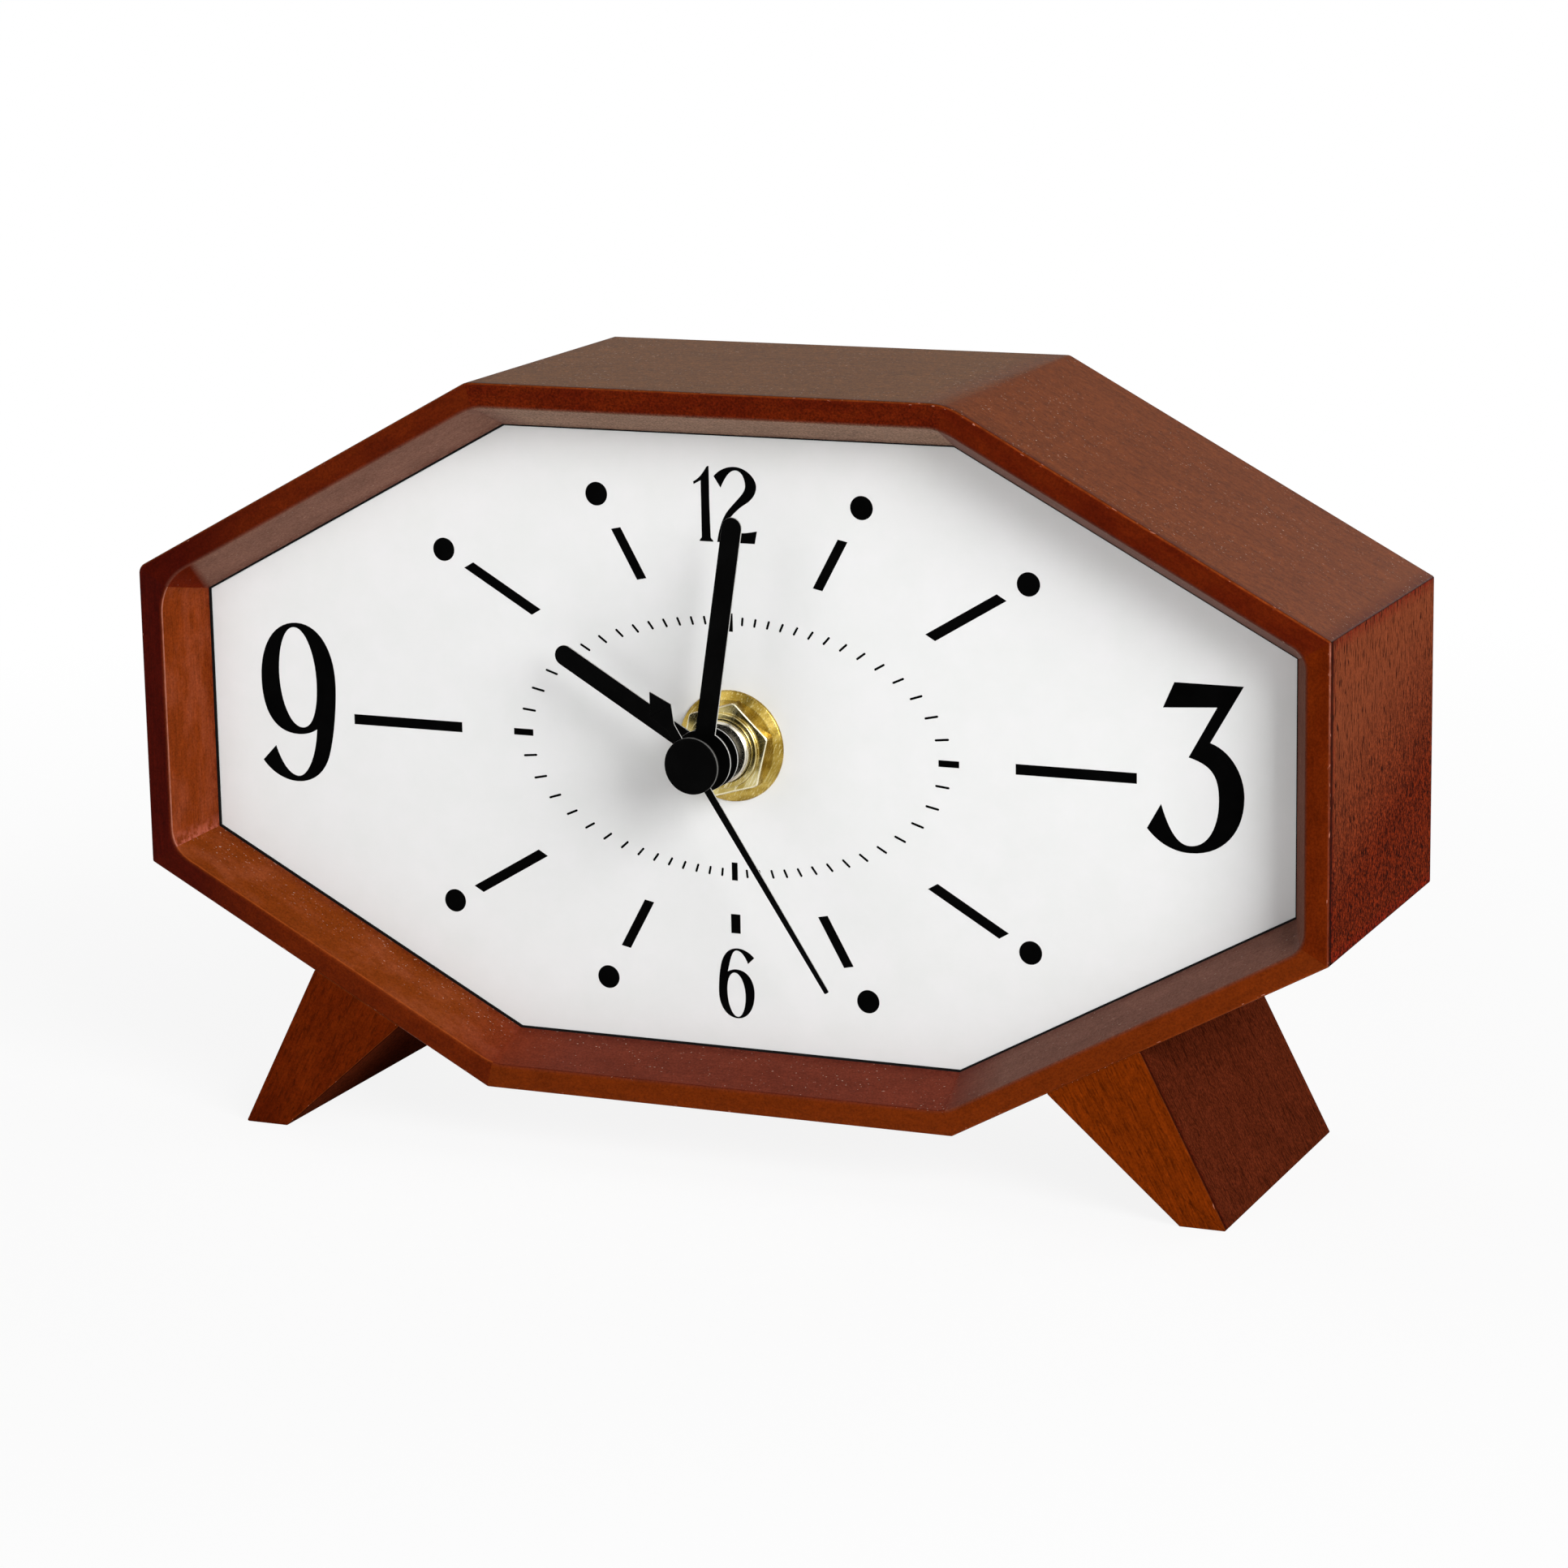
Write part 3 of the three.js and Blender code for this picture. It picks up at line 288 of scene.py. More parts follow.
def stave_section():
    """The stave's closed section as (thickness, depth), and what each of its points knows. A row of
    the table gives a corner's place, its rounding and the section's marks in their own order."""
    corners = [(0, 0, FRONT_ROUNDING, 1, 0, 0, 0.5, 0, 0, 1),
               (RIM, 0, RIM_ROUNDING, 0, 1, 0.5, 0, 0, 1, 0),
               (LIP, LIP_BACK, LIP_ROUNDING, 0, 0, 1, 0, 0, 0, 0),
               (WALL, LIP_BACK, CRISP, 0, 0, 0, 0, 1, 0, 0),
               (WALL, CASE_DEPTH, CRISP * 3, 0, 0, 0, 0, 1, 0, 0),
               (0, CASE_DEPTH, BACK_ROUNDING, 1, 0, 0, 1, 0, 0, 1)]
    points, normals, values = contour(corners)
    given = dict(zip(SECTION_MARKS, values.T))
    forward = -normals[:, 1]
    splay_forward = (LIP - RIM) / math.hypot(LIP - RIM, LIP_BACK)
    turned_in = np.clip((1 - forward) / (1 - splay_forward), 0, 1)
    on_rim = given["opening_fillet"] == 1
    at_front = (given["outer_fillet"] == 1) & (points[:, 1] < WALL)
    given["splay"][on_rim] = turned_in[on_rim]
    given["outer"][at_front] = np.clip(1 - forward * FRONT_STAIN_TURN, 0, 1)[at_front]
    given["rim"][:] = np.clip(1 - np.abs(turned_in - RIM_LINE) / RIM_LINE_HALF, 0, 1) * on_rim
    points, values = refined(points, values, SECTION_STEP)
    return points, dict(zip(SECTION_MARKS, values.T))


def faded(distance, reach):
    """1 at no distance, falling evenly to 0 at the reach."""
    return np.clip(1 - distance / reach, 0, 1) if reach else 0 * distance


def stave(side, material):
    """One side of the case. At u along the stave and point (thickness, depth) of its section,
    s = lerp(first mitre, second mitre, u), and the corner fillets push the thickness in."""
    corner, following = side, (side + 1) % 8
    start = OCTAGON[corner]
    along = OCTAGON[following] - start
    length = np.linalg.norm(along)
    along = along / length
    inward = np.array([along[1], -along[0]])
    section, given = stave_section()
    thickness, depth = section.T
    to_back = depth / CASE_DEPTH
    before_dial = np.clip(1 - depth / LIP_BACK, 0, 1)
    splayed = before_dial * (thickness >= RIM - RIM_ROUNDING)
    share = (1 - np.cos(np.linspace(0, np.pi, STAVE_COLUMNS)))[None, :] / 2
    ends = []
    for index in (corner, following):
        previous = OCTAGON[index] - OCTAGON[index - 1]
        leaving = OCTAGON[(index + 1) % 8] - OCTAGON[index]
        turn = math.acos(previous @ leaving / np.linalg.norm(previous) / np.linalg.norm(leaving))
        outer_radius = FRONT_FILLETS[index] + to_back * (BACK_FILLETS[index] - FRONT_FILLETS[index])
        radius = given["outer_fillet"] * outer_radius + splayed * OPENING_FILLETS[index]
        radius = np.maximum(radius, 1e-6)
        reach = radius * math.tan(turn / 2)
        mitre = thickness * math.tan(turn / 2)
        ends.append((radius[:, None], reach[:, None], mitre[:, None],
                     (mitre + reach - radius * math.sin(turn / 2))[:, None]))
    first, second = ends
    s = first[3] + share * (length - second[3] - first[3])
    pushed = (thickness[:, None] + rubbed(first[0], first[1], s - first[2])
              + rubbed(second[0], second[1], length - s - second[2]))
    plan = start + s[..., None] * along + pushed[..., None] * inward
    points = solid_points(plan, depth[:, None])
    rows, columns = s.shape
    grid = np.arange(rows * columns).reshape(rows, columns)
    faces = quads(rows, columns, close_rows=True)
    faces += [grid[:, 0].tolist(), grid[:, -1].tolist()]
    done, left = s - s[:, :1], s[:, -1:] - s
    to_joint = np.minimum(done, left)
    seam = np.where(done < left, MITRE_SHOWN[corner], MITRE_SHOWN[following])
    meet, melt = [np.maximum(faded(done, at_first), faded(left, at_second))
                  for at_first, at_second in (SOFT_REACH.get(side, (0, 0)),
                                              SOFT_SPLAY_REACH.get(side, (0, 0)))]
    marks = {key: np.broadcast_to(given[key][:, None], s.shape) for key in SECTION_MARKS[2:]}
    bevelled = np.clip((BEVEL_REACH.get(side, 0) * before_dial[:, None] - done) / BEVEL_FADE, -1, 1)
    name = STAVES[side]
    mesh_piece(name.replace("case", "stave"), [(points, faces)], "case", "case_wood", [name], material,
               joint=faded(to_joint, MITRE_LINE) * seam * marks["outer"],
               pool=faded(to_joint, POOL_REACH) * seam * marks["outer"],
               meet=meet * marks["outer"], melt=melt * marks["splay"], bevel=bevelled,
               fold=faded(done, FOLD_REACH.get(side, 0)) * marks["splay"], **marks)


def arc(centre, radius, start, end, steps):
    """Points round a centre and their outward normals, from one angle to another in degrees."""
    angle = np.radians(np.linspace(start, end, steps + 1))
    normals = np.stack([np.cos(angle), np.sin(angle)], 1)
    return np.array(centre) + radius * normals, normals


def plate(points, normals, front, back, edge, hole=0):
    """A flat piece with rounded edges: the outline moved in by edge * (1 - sin a) at a depth of
    edge * (1 - cos a) from each face. A hole is a ring of points at the outline's own angles."""
    angle = np.radians(np.linspace(0, 90, EDGE_STEPS + 1))
    inset = np.concatenate([[edge + SUPPORT], edge * (1 - np.sin(angle))])
    depth = np.concatenate([[0], edge * (1 - np.cos(angle))])
    inset = np.concatenate([inset, inset[::-1]])
    depth = np.concatenate([front + depth, back - depth[::-1]])
    rings = points[None] - inset[:, None, None] * normals[None]
    if hole:
        ring = points / np.linalg.norm(points, axis=1)[:, None] * hole
        rings = np.concatenate([ring[None], rings, ring[None]])
        depth = np.concatenate([[front], depth, [back]])
    rows, columns = rings.shape[:2]
    faces = quads(rows, columns, close_rows=bool(hole), close_columns=True)
    if not hole:
        grid = np.arange(rows * columns).reshape(rows, columns)
        faces += [grid[0].tolist(), grid[-1].tolist()]
    return solid_points(rings, depth[:, None]), faces


def turned(corners, sides=96, shape=None):
    """A closed profile of (radius, depth, rounding) corners carried round the depth axis:
    x = r cos a, z = r sin a. A shape may change the radius by angle and depth."""
    profile, _, _ = contour(corners)
    angle = np.linspace(0, 2 * np.pi, sides, endpoint=False)[None, :]
    radius = np.broadcast_to(np.maximum(profile[:, :1], 0), (len(profile), sides))
    depth = np.broadcast_to(profile[:, 1:2], (len(profile), sides))
    if shape:
        radius = shape(radius, angle, depth)
    solid = np.stack([radius * np.cos(angle), depth, radius * np.sin(angle)], -1)
    return solid, quads(len(profile), sides, close_rows=True, close_columns=True)


def clockwise(shell, degrees):
    """Turns a shell clockwise, as the dial is read, round the middle of the dial."""
    angle = math.radians(degrees)
    points = shell[0]
    x = points[..., 0] * math.cos(angle) + points[..., 2] * math.sin(angle)
    z = points[..., 2] * math.cos(angle) - points[..., 0] * math.sin(angle)
    return np.stack([x, points[..., 1], z], -1), shell[1]


# Materials
class Finish:
    """A node material on the piece's own coordinates, with short words for the nodes it needs."""

    def __init__(self, name, **constants):
        self.material = bpy.data.materials.new(name)
        self.material.use_nodes = True
        self.tree = self.material.node_tree
        self.shader = self.tree.nodes["Principled BSDF"]
        for key, value in constants.items():
            self.shader.inputs[key.replace("_", " ")].default_value = value
        self.coordinates = self.tree.nodes.new("ShaderNodeTexCoord").outputs["Object"]

    def put(self, kind, inputs, output=0, **settings):
        """Adds a node, links or sets its inputs, and gives back one of its outputs."""
        made = self.tree.nodes.new("ShaderNode" + kind)
        for key, value in settings.items():
            setattr(made, key, value)
        for key, value in inputs.items():
            if isinstance(value, bpy.types.NodeSocket):
                self.tree.links.new(value, made.inputs[key])
            else:
                made.inputs[key].default_value = value
        return made.outputs[output]

    def axis(self, index):
        """How far a point lies along x, y or z, in metres."""
        return self.put("SeparateXYZ", {"Vector": self.coordinates}, index)

    def noise(self, size, detail=2, roughness=0.5, degrees=0, place=(0, 0, 0), warp=0):
        """Noise whose spots have a size in millimetres, one number or one along each axis, after the
        axes are turned by an angle in the plane of the dial."""
        stretch = (np.broadcast_to(size, 3) * MM).tolist()
        grain = self.put("Mapping", {"Vector": self.coordinates, "Location": place,
                                     "Rotation": (0, math.radians(-degrees), 0), "Scale": stretch},
                         vector_type="TEXTURE")
        return self.put("TexNoise", {"Vector": grain, "Scale": 1, "Detail": detail,
                                     "Roughness": roughness, "Distortion": warp})

    def between(self, value, low, high, bottom=0, top=1):
        """Runs evenly from bottom to top as the value runs from low to high, and stays there."""
        return self.put("MapRange", {"Value": value, "From Min": low, "From Max": high,
                                     "To Min": bottom, "To Max": top})

    def ranged(self, noise, bottom=0, top=1):
        """Runs from bottom to top while a noise runs over 0.3 to 0.7, where most of it lies."""
        return self.between(noise, 0.3, 0.7, bottom, top)

    def math(self, operation, first, second):
        """One step of arithmetic on two values."""
        return self.put("Math", {0: first, 1: second}, operation=operation)

    def times(self, first, *others):
        """The values multiplied together."""
        for other in others:
            first = self.math("MULTIPLY", first, other)
        return first

    def mix(self, share, first, second, blend="MIX"):
        """The first colour at a share of 0 and the second one, or their blend, at a share of 1."""
        return self.put("Mix", {0: share, 6: first, 7: second}, 2, data_type="RGBA", blend_type=blend)

    def towards(self, share, factor):
        """1 at a share of 0, and the factor at a share of 1."""
        return self.put("Mix", {0: share, 2: 1.0, 3: factor}, 0)

    def mark(self, name):
        """A number that the mesh keeps at its points."""
        return self.put("Attribute", {}, 2, attribute_name=name)

    def finish(self, colour, roughness, height, bump, distance=0.0001):
        """The material with its colour and roughness, bumped by a height times a distance in metres."""
        normal = self.put("Bump", {"Height": height, "Strength": bump, "Distance": distance})
        for key, socket in (("Base Color", colour), ("Roughness", roughness), ("Normal", normal)):
            self.tree.links.new(socket, self.shader.inputs[key])
        return self.material


def rgb(red, green, blue):
    """A colour from its values on a screen, 0 to 255, as linear light."""
    value = np.array([red, green, blue]) / 255
    linear = np.where(value > 0.04045, ((value + 0.055) / 1.055) ** 2.4, value / 12.92)
    return (*linear.tolist(), 1)


# Stains, what shows where they are rubbed, pores, flecks and bare wood. Some of them are painted
# reflection, highlight and sheen, as said beside them
MAROON = rgb(62, 9, 4)
DEEP_MAROON = rgb(92, 25, 6)
DEEP_RED = rgb(84, 21, 4)
CHESTNUT = rgb(93, 29, 4)
AUBURN = rgb(88, 26, 6)
RUSSET = rgb(106, 40, 6)
AMBER = rgb(112, 42, 4)
# Painted reflection: the varnish mirroring the dial and the room, baked into the splay's colour
DARK_MAUVE_REFLECTION = rgb(104, 46, 32)
MAUVE_REFLECTION = rgb(113, 76, 64)
BROWN = rgb(106, 51, 19)
GREY_BROWN = rgb(107, 65, 28)
RED_BROWN = rgb(112, 44, 22)
DUSTY_BROWN = rgb(78, 30, 14)
DUSTY_RED = rgb(113, 54, 30)
CRIMSON = rgb(104, 18, 8)
ORANGE = rgb(114, 49, 12)
BRIGHT_ORANGE = rgb(113, 45, 12)
# Painted reflection on the splay, as with the mauves above
PALE_MAUVE_REFLECTION = rgb(122, 86, 72)
ASHEN_REFLECTION = rgb(140, 109, 90)
# Light rubs. The first stands for worn stain and a painted highlight, the pink one for a painted highlight,
# the pale one for nicks, a painted highlight and painted sheen in patches
WORN_AND_HIGHLIGHT = rgb(158, 74, 28)
PINK_HIGHLIGHT = rgb(182, 98, 78)
PALE_RUB_AND_HIGHLIGHT = rgb(190, 124, 102)
PORE = rgb(24, 6, 3)
# The flecks are partly dust and partly painted glints in the pores
FLECK = rgb(206, 180, 160)
RAW_WOOD = rgb(190, 150, 106)
RAW_GRAIN = rgb(158, 116, 76)
RAW_PORE = rgb(98, 62, 36)


# What a wood is like where its piece doesn't say otherwise. Low is the outside's darker colour near
# the ground, painted shade, and a stain of None is left out. Widths and craze, the size of the
# crazing, are in millimetres, and the other numbers say how strong each pattern is
WOOD = dict(low=None, sheen=0.5, pores=0.3, coarse=0.0, flecks=0.0, flecks_by_dial=False,
            rim=DEEP_RED, rim_shown=0.0, worn=0.5, worn_stain=WORN_AND_HIGHLIGHT, bloom=0.0, streaks=0.5,
            front_streaks=0.15, mottled=1.0, pool=MAROON, pool_width=1.8, edge_line=0.3, craze=0.75,
            fold_stain=None, melt_stain=RED_BROWN, front_pores=0.12, edge_width=1.1, grit=0.22)
# The border between the outside's stain and its painted shade near the ground rises towards the
# back by this slope
LOW_SLOPE = 0.25
# The front darkens between these places to the left of the middle, in metres
DARK_END = (-0.076, -0.092)


class Wood(Finish):
    """Stained wood under a satin varnish: blotched, with fine fibres, short dark pores along the
    grain, tiny light flecks that are partly painted glints, and stain that has pooled in places and is
    rubbed thin in others. Some of its colours carry painted reflection, highlight, sheen and shade."""

    def __init__(self, name, degrees, **look):
        self.look = look = SimpleNamespace(**{**WOOD, **look})
        super().__init__(name, Specular_IOR_Level=0.0, Roughness=0.55, Coat_Weight=look.sheen,
                         Coat_IOR=1.12, Coat_Roughness=0.3)
        self.blotch = self.noise((9, 3.5, 3.5), 4, 0.6, degrees)
        self.mottle = self.noise((1.4, 1.0, 1.0), 4, 0.7, degrees)
        self.fine = self.noise((0.35, 0.3, 0.3), 2, 0.6, degrees)
        self.fibre = self.noise((5, 0.3, 0.3), 3, 0.6, degrees)
        self.pore = self.noise((2.2, 0.42, 0.42), 1, 0.5, degrees)
        self.crazed = self.noise((look.craze, 0.6 * look.craze, 0.6 * look.craze), 3, 0.6, degrees,
                                 (0, 0.3, 0.2), 0.7)
        self.fleck = self.noise((0.45, 0.2, 0.2), 0, 0.5, degrees, (0, 0, 0.5))
        self.nick = self.noise((1.1, 0.3, 0.3), 1, 0.5, degrees, (0.2, 0, 0))
        self.scatter = self.noise(14, 1, 0.5)
        self.place = self.axis(1)
        self.level = self.math("SUBTRACT", self.axis(2), self.times(self.place, LOW_SLOPE))
        self.outer, self.splayed = self.mark("outer"), self.mark("splay")
        self.lowness = self.at_height(8, -18)
        self.crazing = self.times(self.outer, self.lowness if look.low else 1.0, look.coarse)

    def at_depth(self, low, high, bottom=0, top=1):
        """Runs from bottom to top between two depths in millimetres behind the front of the case."""
        return self.between(self.place, FRONT_Y + low * MM, FRONT_Y + high * MM, bottom, top)

    def at_height(self, low, high, bottom=0, top=1):
        """Runs from bottom to top between two heights in millimetres over the middle of the dial,
        which rise towards the back by the slope times the depth."""
        middle = DIAL_Z - LOW_SLOPE * FRONT_Y
        return self.between(self.level, middle + low * MM, middle + high * MM, bottom, top)

    def stains(self):
        """The front, the outside and the splay of the opening have taken the stain differently. Most
        splays' colours are painted reflection, and a low colour outside is painted shade near the ground.
        """
        look = self.look
        colour = self.mix(self.between(self.blotch, 0.42, 0.62, 0, 0.22), look.front, RUSSET)
        colour = self.mix(self.between(self.axis(0), *DARK_END, 0, 0.9), colour, MAROON)
        outside = self.mix(self.lowness, look.outside, look.low) if look.low else look.outside
        colour = self.mix(self.outer, colour, outside)
        colour = self.mix(self.times(self.mark("meet"), 0.75), colour, BROWN)
        splay = self.mix(self.mark("melt"), look.splay, look.melt_stain)
        colour = self.mix(self.splayed, colour, splay)
        # Pale patches on the splay are painted sheen
        if look.bloom:
            pale = self.times(self.splayed, self.between(self.blotch, 0.45, 0.65, 0, look.bloom))
            colour = self.mix(pale, colour, PALE_RUB_AND_HIGHLIGHT)
        return colour

    def darkened(self, colour):
        """More stain behind the front edge and along joints, a darker splay by the dial, and in the
        bevelled corner a dark stain in place of the splay's painted reflection.
        """
        near_front = self.times(self.outer, self.at_depth(self.look.pool_width, 0.6, 0, 0.75))
        near_dial = self.times(self.splayed, self.at_depth(LIP_BACK - 2.2, LIP_BACK, 0, 0.7))
        most = self.math("MAXIMUM", self.math("MAXIMUM", near_front, near_dial),
                         self.times(self.mark("pool"), 0.9))
        uneven = self.times(most, self.between(self.mottle, 0.42, 0.58, 0.2, 1))
        colour = self.mix(uneven, colour, self.look.pool)
        bevel = self.times(self.between(self.mark("bevel"), -0.1, 0.2), self.splayed)
        return self.mix(bevel, colour, DEEP_MAROON)

    def shaded(self, colour):
        """The colour times a factor that is the product of the patterns in the wood."""
        look = self.look
        shade = self.times(self.ranged(self.blotch, 0.88, 1.12),
                           self.ranged(self.fine, 1 - look.grit, 1 + look.grit))
        for pattern, on_front, outside, least in ((self.mottle, 0.4, look.mottled, 0.72),
                                                  (self.fibre, look.front_streaks, look.streaks, 0.66)):
            factor = self.ranged(pattern, least, 2 - least)
            share = self.between(self.outer, 0, 1, on_front, outside)
            shade = self.times(shade, self.towards(share, factor))
        if look.coarse:
            ridges = self.between(self.crazed, 0.44, 0.58, 0.25, 2.0)
            shade = self.times(shade, self.towards(self.crazing, ridges))
        grey = self.put("CombineColor", {0: shade, 1: shade, 2: shade})
        return self.mix(1.0, colour, grey, "MULTIPLY")

    def flecked(self, colour):
        """Tiny light flecks, in a band before the dial or scattered: partly dust, partly painted glints
        in the pores.
        """
        if not self.look.flecks:
            return colour
        if self.look.flecks_by_dial:
            rare, where = 0.765, self.at_depth(LIP_BACK - 7, LIP_BACK - 3.5)
        else:
            rare, where = 0.795, self.between(self.scatter, 0.35, 0.55)
        shown = self.times(self.between(self.fleck, rare, rare + 0.04, 0, self.look.flecks), where,
                           self.math("MAXIMUM", self.outer, self.splayed))
        return self.mix(shown, colour, FLECK)

    def edged(self, colour):
        """Lines along the rim, the fold, the front edge and the joints, rubbed edges and nicks. The pale
        rim lines and the fold are painted highlight, and the rubbed edges are wear with a painted highlight.
        """
        look = self.look
        # The rim line is a painted highlight on the left and lower left, a dark line on the bottom
        if look.rim_shown:
            line = self.times(self.mark("rim"), self.between(self.mottle, 0.3, 0.6, 0.5, 1))
            colour = self.mix(self.times(line, look.rim_shown), colour, look.rim)
        # The fold's pink is a painted highlight
        if look.fold_stain:
            fold_highlight_share = self.times(self.mark("fold"), self.between(self.mottle, 0.4, 0.6, 0.05, 0.6))
            colour = self.mix(fold_highlight_share, colour, look.fold_stain)
        behind_edge = self.at_depth(look.edge_width + 0.7, look.edge_width, 0, look.edge_line)
        colour = self.mix(self.times(self.outer, behind_edge), colour, PORE)
        wear = self.mark("wear")
        worn = self.times(self.between(wear, 0.6, 1.0),
                          self.between(self.mottle, 0.35, 0.65, 0.35 * look.worn, look.worn))
        # Where the low colour is painted shade, the rubbed edges and their painted highlight fade towards the
        # ground
        if look.low:
            worn = self.times(worn, self.at_height(4, 22, 0.2, 1))
        colour = self.mix(worn, colour, look.worn_stain)
        nicked = self.times(self.between(wear, 0.2, 0.5), self.between(self.nick, 0.69, 0.73, 0, 0.7))
        colour = self.mix(nicked, colour, PALE_RUB_AND_HIGHLIGHT)
        return self.mix(self.times(self.mark("joint"), 0.85), colour, PORE)

    def raw(self):
        """Bare wood, as the inside of the case shows it."""
        colour = self.mix(self.between(self.fibre, 0.35, 0.65), RAW_WOOD, RAW_GRAIN)
        return self.mix(self.between(self.pore, 0.58, 0.66, 0, 0.6), colour, RAW_PORE)


def stained_wood(name, degrees, **look):
    """The layers of a wood over each other, with a bump from its mottle, pores and crazing."""
    made = Wood(name, degrees, **look)
    sunk = made.times(made.between(made.pore, 0.59, 0.64, 0, made.look.pores),
                      made.between(made.outer, 0, 1, made.look.front_pores, 1))
    colour = made.shaded(made.darkened(made.stains()))
    colour = made.edged(made.flecked(made.mix(sunk, colour, PORE)))
    colour = made.mix(made.mark("inside"), colour, made.raw())
    height = made.math("SUBTRACT", made.times(made.mottle, 0.4), sunk)
    if made.look.coarse:
        height = made.math("ADD", height, made.times(made.crazing, 3, made.crazed))
    return made.finish(colour, made.ranged(made.mottle, 0.46, 0.64), height, 0.5)


STAVE_STAINS = {
    "case_top": dict(front=DEEP_RED, outside=GREY_BROWN, splay=ASHEN_REFLECTION, melt_stain=PALE_MAUVE_REFLECTION, sheen=0.33,
                     pores=0.1, flecks=0.9, worn=0.6, streaks=0.45, edge_line=0.12, grit=0.45),
    "case_upper_right": dict(front=DEEP_RED, outside=BROWN, splay=MAUVE_REFLECTION, sheen=0.3, pores=0.05, flecks=0.9,
                             worn=0.6, streaks=0.15, edge_line=0.12),
    # The right side darkens towards the ground: painted shade
    "case_right": dict(front=CHESTNUT, outside=DUSTY_RED, splay=MAUVE_REFLECTION, low=AUBURN, sheen=0.05, pores=0.9,
                       coarse=1.0, worn=0.6, worn_stain=PALE_RUB_AND_HIGHLIGHT, streaks=0.3, mottled=0.3, pool=CRIMSON,
                       pool_width=3.2, edge_line=0.85, craze=0.5),
    "case_lower_right": dict(front=RUSSET, outside=RUSSET, splay=MAUVE_REFLECTION, flecks=0.4,
                             melt_stain=DARK_MAUVE_REFLECTION),
    "case_bottom": dict(front=RUSSET, outside=RUSSET, splay=DARK_MAUVE_REFLECTION, flecks=0.6, rim=MAROON,
                        rim_shown=0.7),
    "case_lower_left": dict(front=CHESTNUT, outside=DEEP_RED, splay=ORANGE, flecks=0.4,
                            flecks_by_dial=True, rim=WORN_AND_HIGHLIGHT, rim_shown=0.8, bloom=0.05),
    "case_left": dict(front=MAROON, outside=DEEP_RED, splay=BRIGHT_ORANGE, pores=0.5, rim=PALE_RUB_AND_HIGHLIGHT,
                      rim_shown=0.8, worn=0.2, bloom=0.05, front_streaks=0.55, fold_stain=PINK_HIGHLIGHT),
    "case_upper_left": dict(front=AUBURN, outside=BROWN, splay=PALE_MAUVE_REFLECTION, melt_stain=PALE_MAUVE_REFLECTION,
                            sheen=0.25, flecks=0.3),
}
FOOT_WOOD = dict(outside=DUSTY_BROWN, sheen=0.0, pores=0.5, coarse=0.35, craze=0.45, worn=0.3, streaks=0.4,
                 front_pores=0.6, mottled=0.35, edge_line=0.6, edge_width=0.4)
FOOT_STAINS = {"foot_right": dict(front=AMBER, splay=AMBER, front_streaks=1.2),
               "foot_left": dict(front=CHESTNUT, splay=CHESTNUT, front_streaks=0.5)}


def stave_material(side):
    """A stave's wood, its grain along the side: the angle of the side's direction in the dial."""
    along = OCTAGON[(side + 1) % 8] - OCTAGON[side]
    degrees = math.degrees(math.atan2(along[1], along[0]))
    return stained_wood(STAVES[side] + "_wood", degrees, **STAVE_STAINS[STAVES[side]])


def flat_finish(name, first, second, grain, roughness, metal=0, bump=0.1, level=0.5):
    """A finish that drifts between two near colours, with a fine moulded or brushed roughness."""
    made = Finish(name, Specular_IOR_Level=level, Metallic=metal, Roughness=roughness)
    fine = made.noise(grain, 3, 0.6)
    colour = made.mix(made.ranged(made.noise(6, 3, 0.55)), rgb(*first), rgb(*second))
    spread = made.ranged(fine, roughness * 0.85, roughness * 1.15)
    return made.finish(colour, spread, fine, bump, 0.00005)


def pressed_fibre():
    """Hardboard: short fibres pressed in every direction, light and dark ones over each other."""
    made = Finish("fibreboard", Specular_IOR_Level=0.2)
    drift = made.noise(20, 2, 0.5)
    colour = made.mix(made.between(drift, 0.35, 0.65), rgb(150, 118, 82), rgb(160, 128, 92))
    height = drift
    for degrees, tone, share in ((20, rgb(112, 82, 52), 0.7), (75, rgb(190, 158, 118), 0.6),
                                 (130, rgb(124, 92, 60), 0.7), (165, rgb(184, 150, 110), 0.6)):
        strand = made.noise((2.4, 0.3, 0.3), 2, 0.6, degrees)
        colour = made.mix(made.between(strand, 0.54, 0.66, 0, share), colour, tone)
        height = made.math("ADD", height, strand)
    return made.finish(colour, made.ranged(drift, 0.78, 0.9), height, 0.35)


def lacquered():
    """Black lacquer on stamped sheet metal, with the bare metal of its cut edges, and on the cap's rim
    a painted glint.
    """
    made = Finish("black_lacquer", Specular_IOR_Level=0.012)
    fine = made.noise(0.15, 3, 0.6)
    colour = made.mix(made.ranged(made.noise(6, 3, 0.55)), rgb(3, 3, 3), rgb(7, 7, 7))
    bare = made.times(made.mark("cut"), made.between(fine, 0.35, 0.5, 0.5, 0.95))
    colour = made.mix(bare, colour, rgb(196, 196, 192))
    return made.finish(colour, made.ranged(fine, 0.3, 0.4), fine, 0.05, 0.00005)


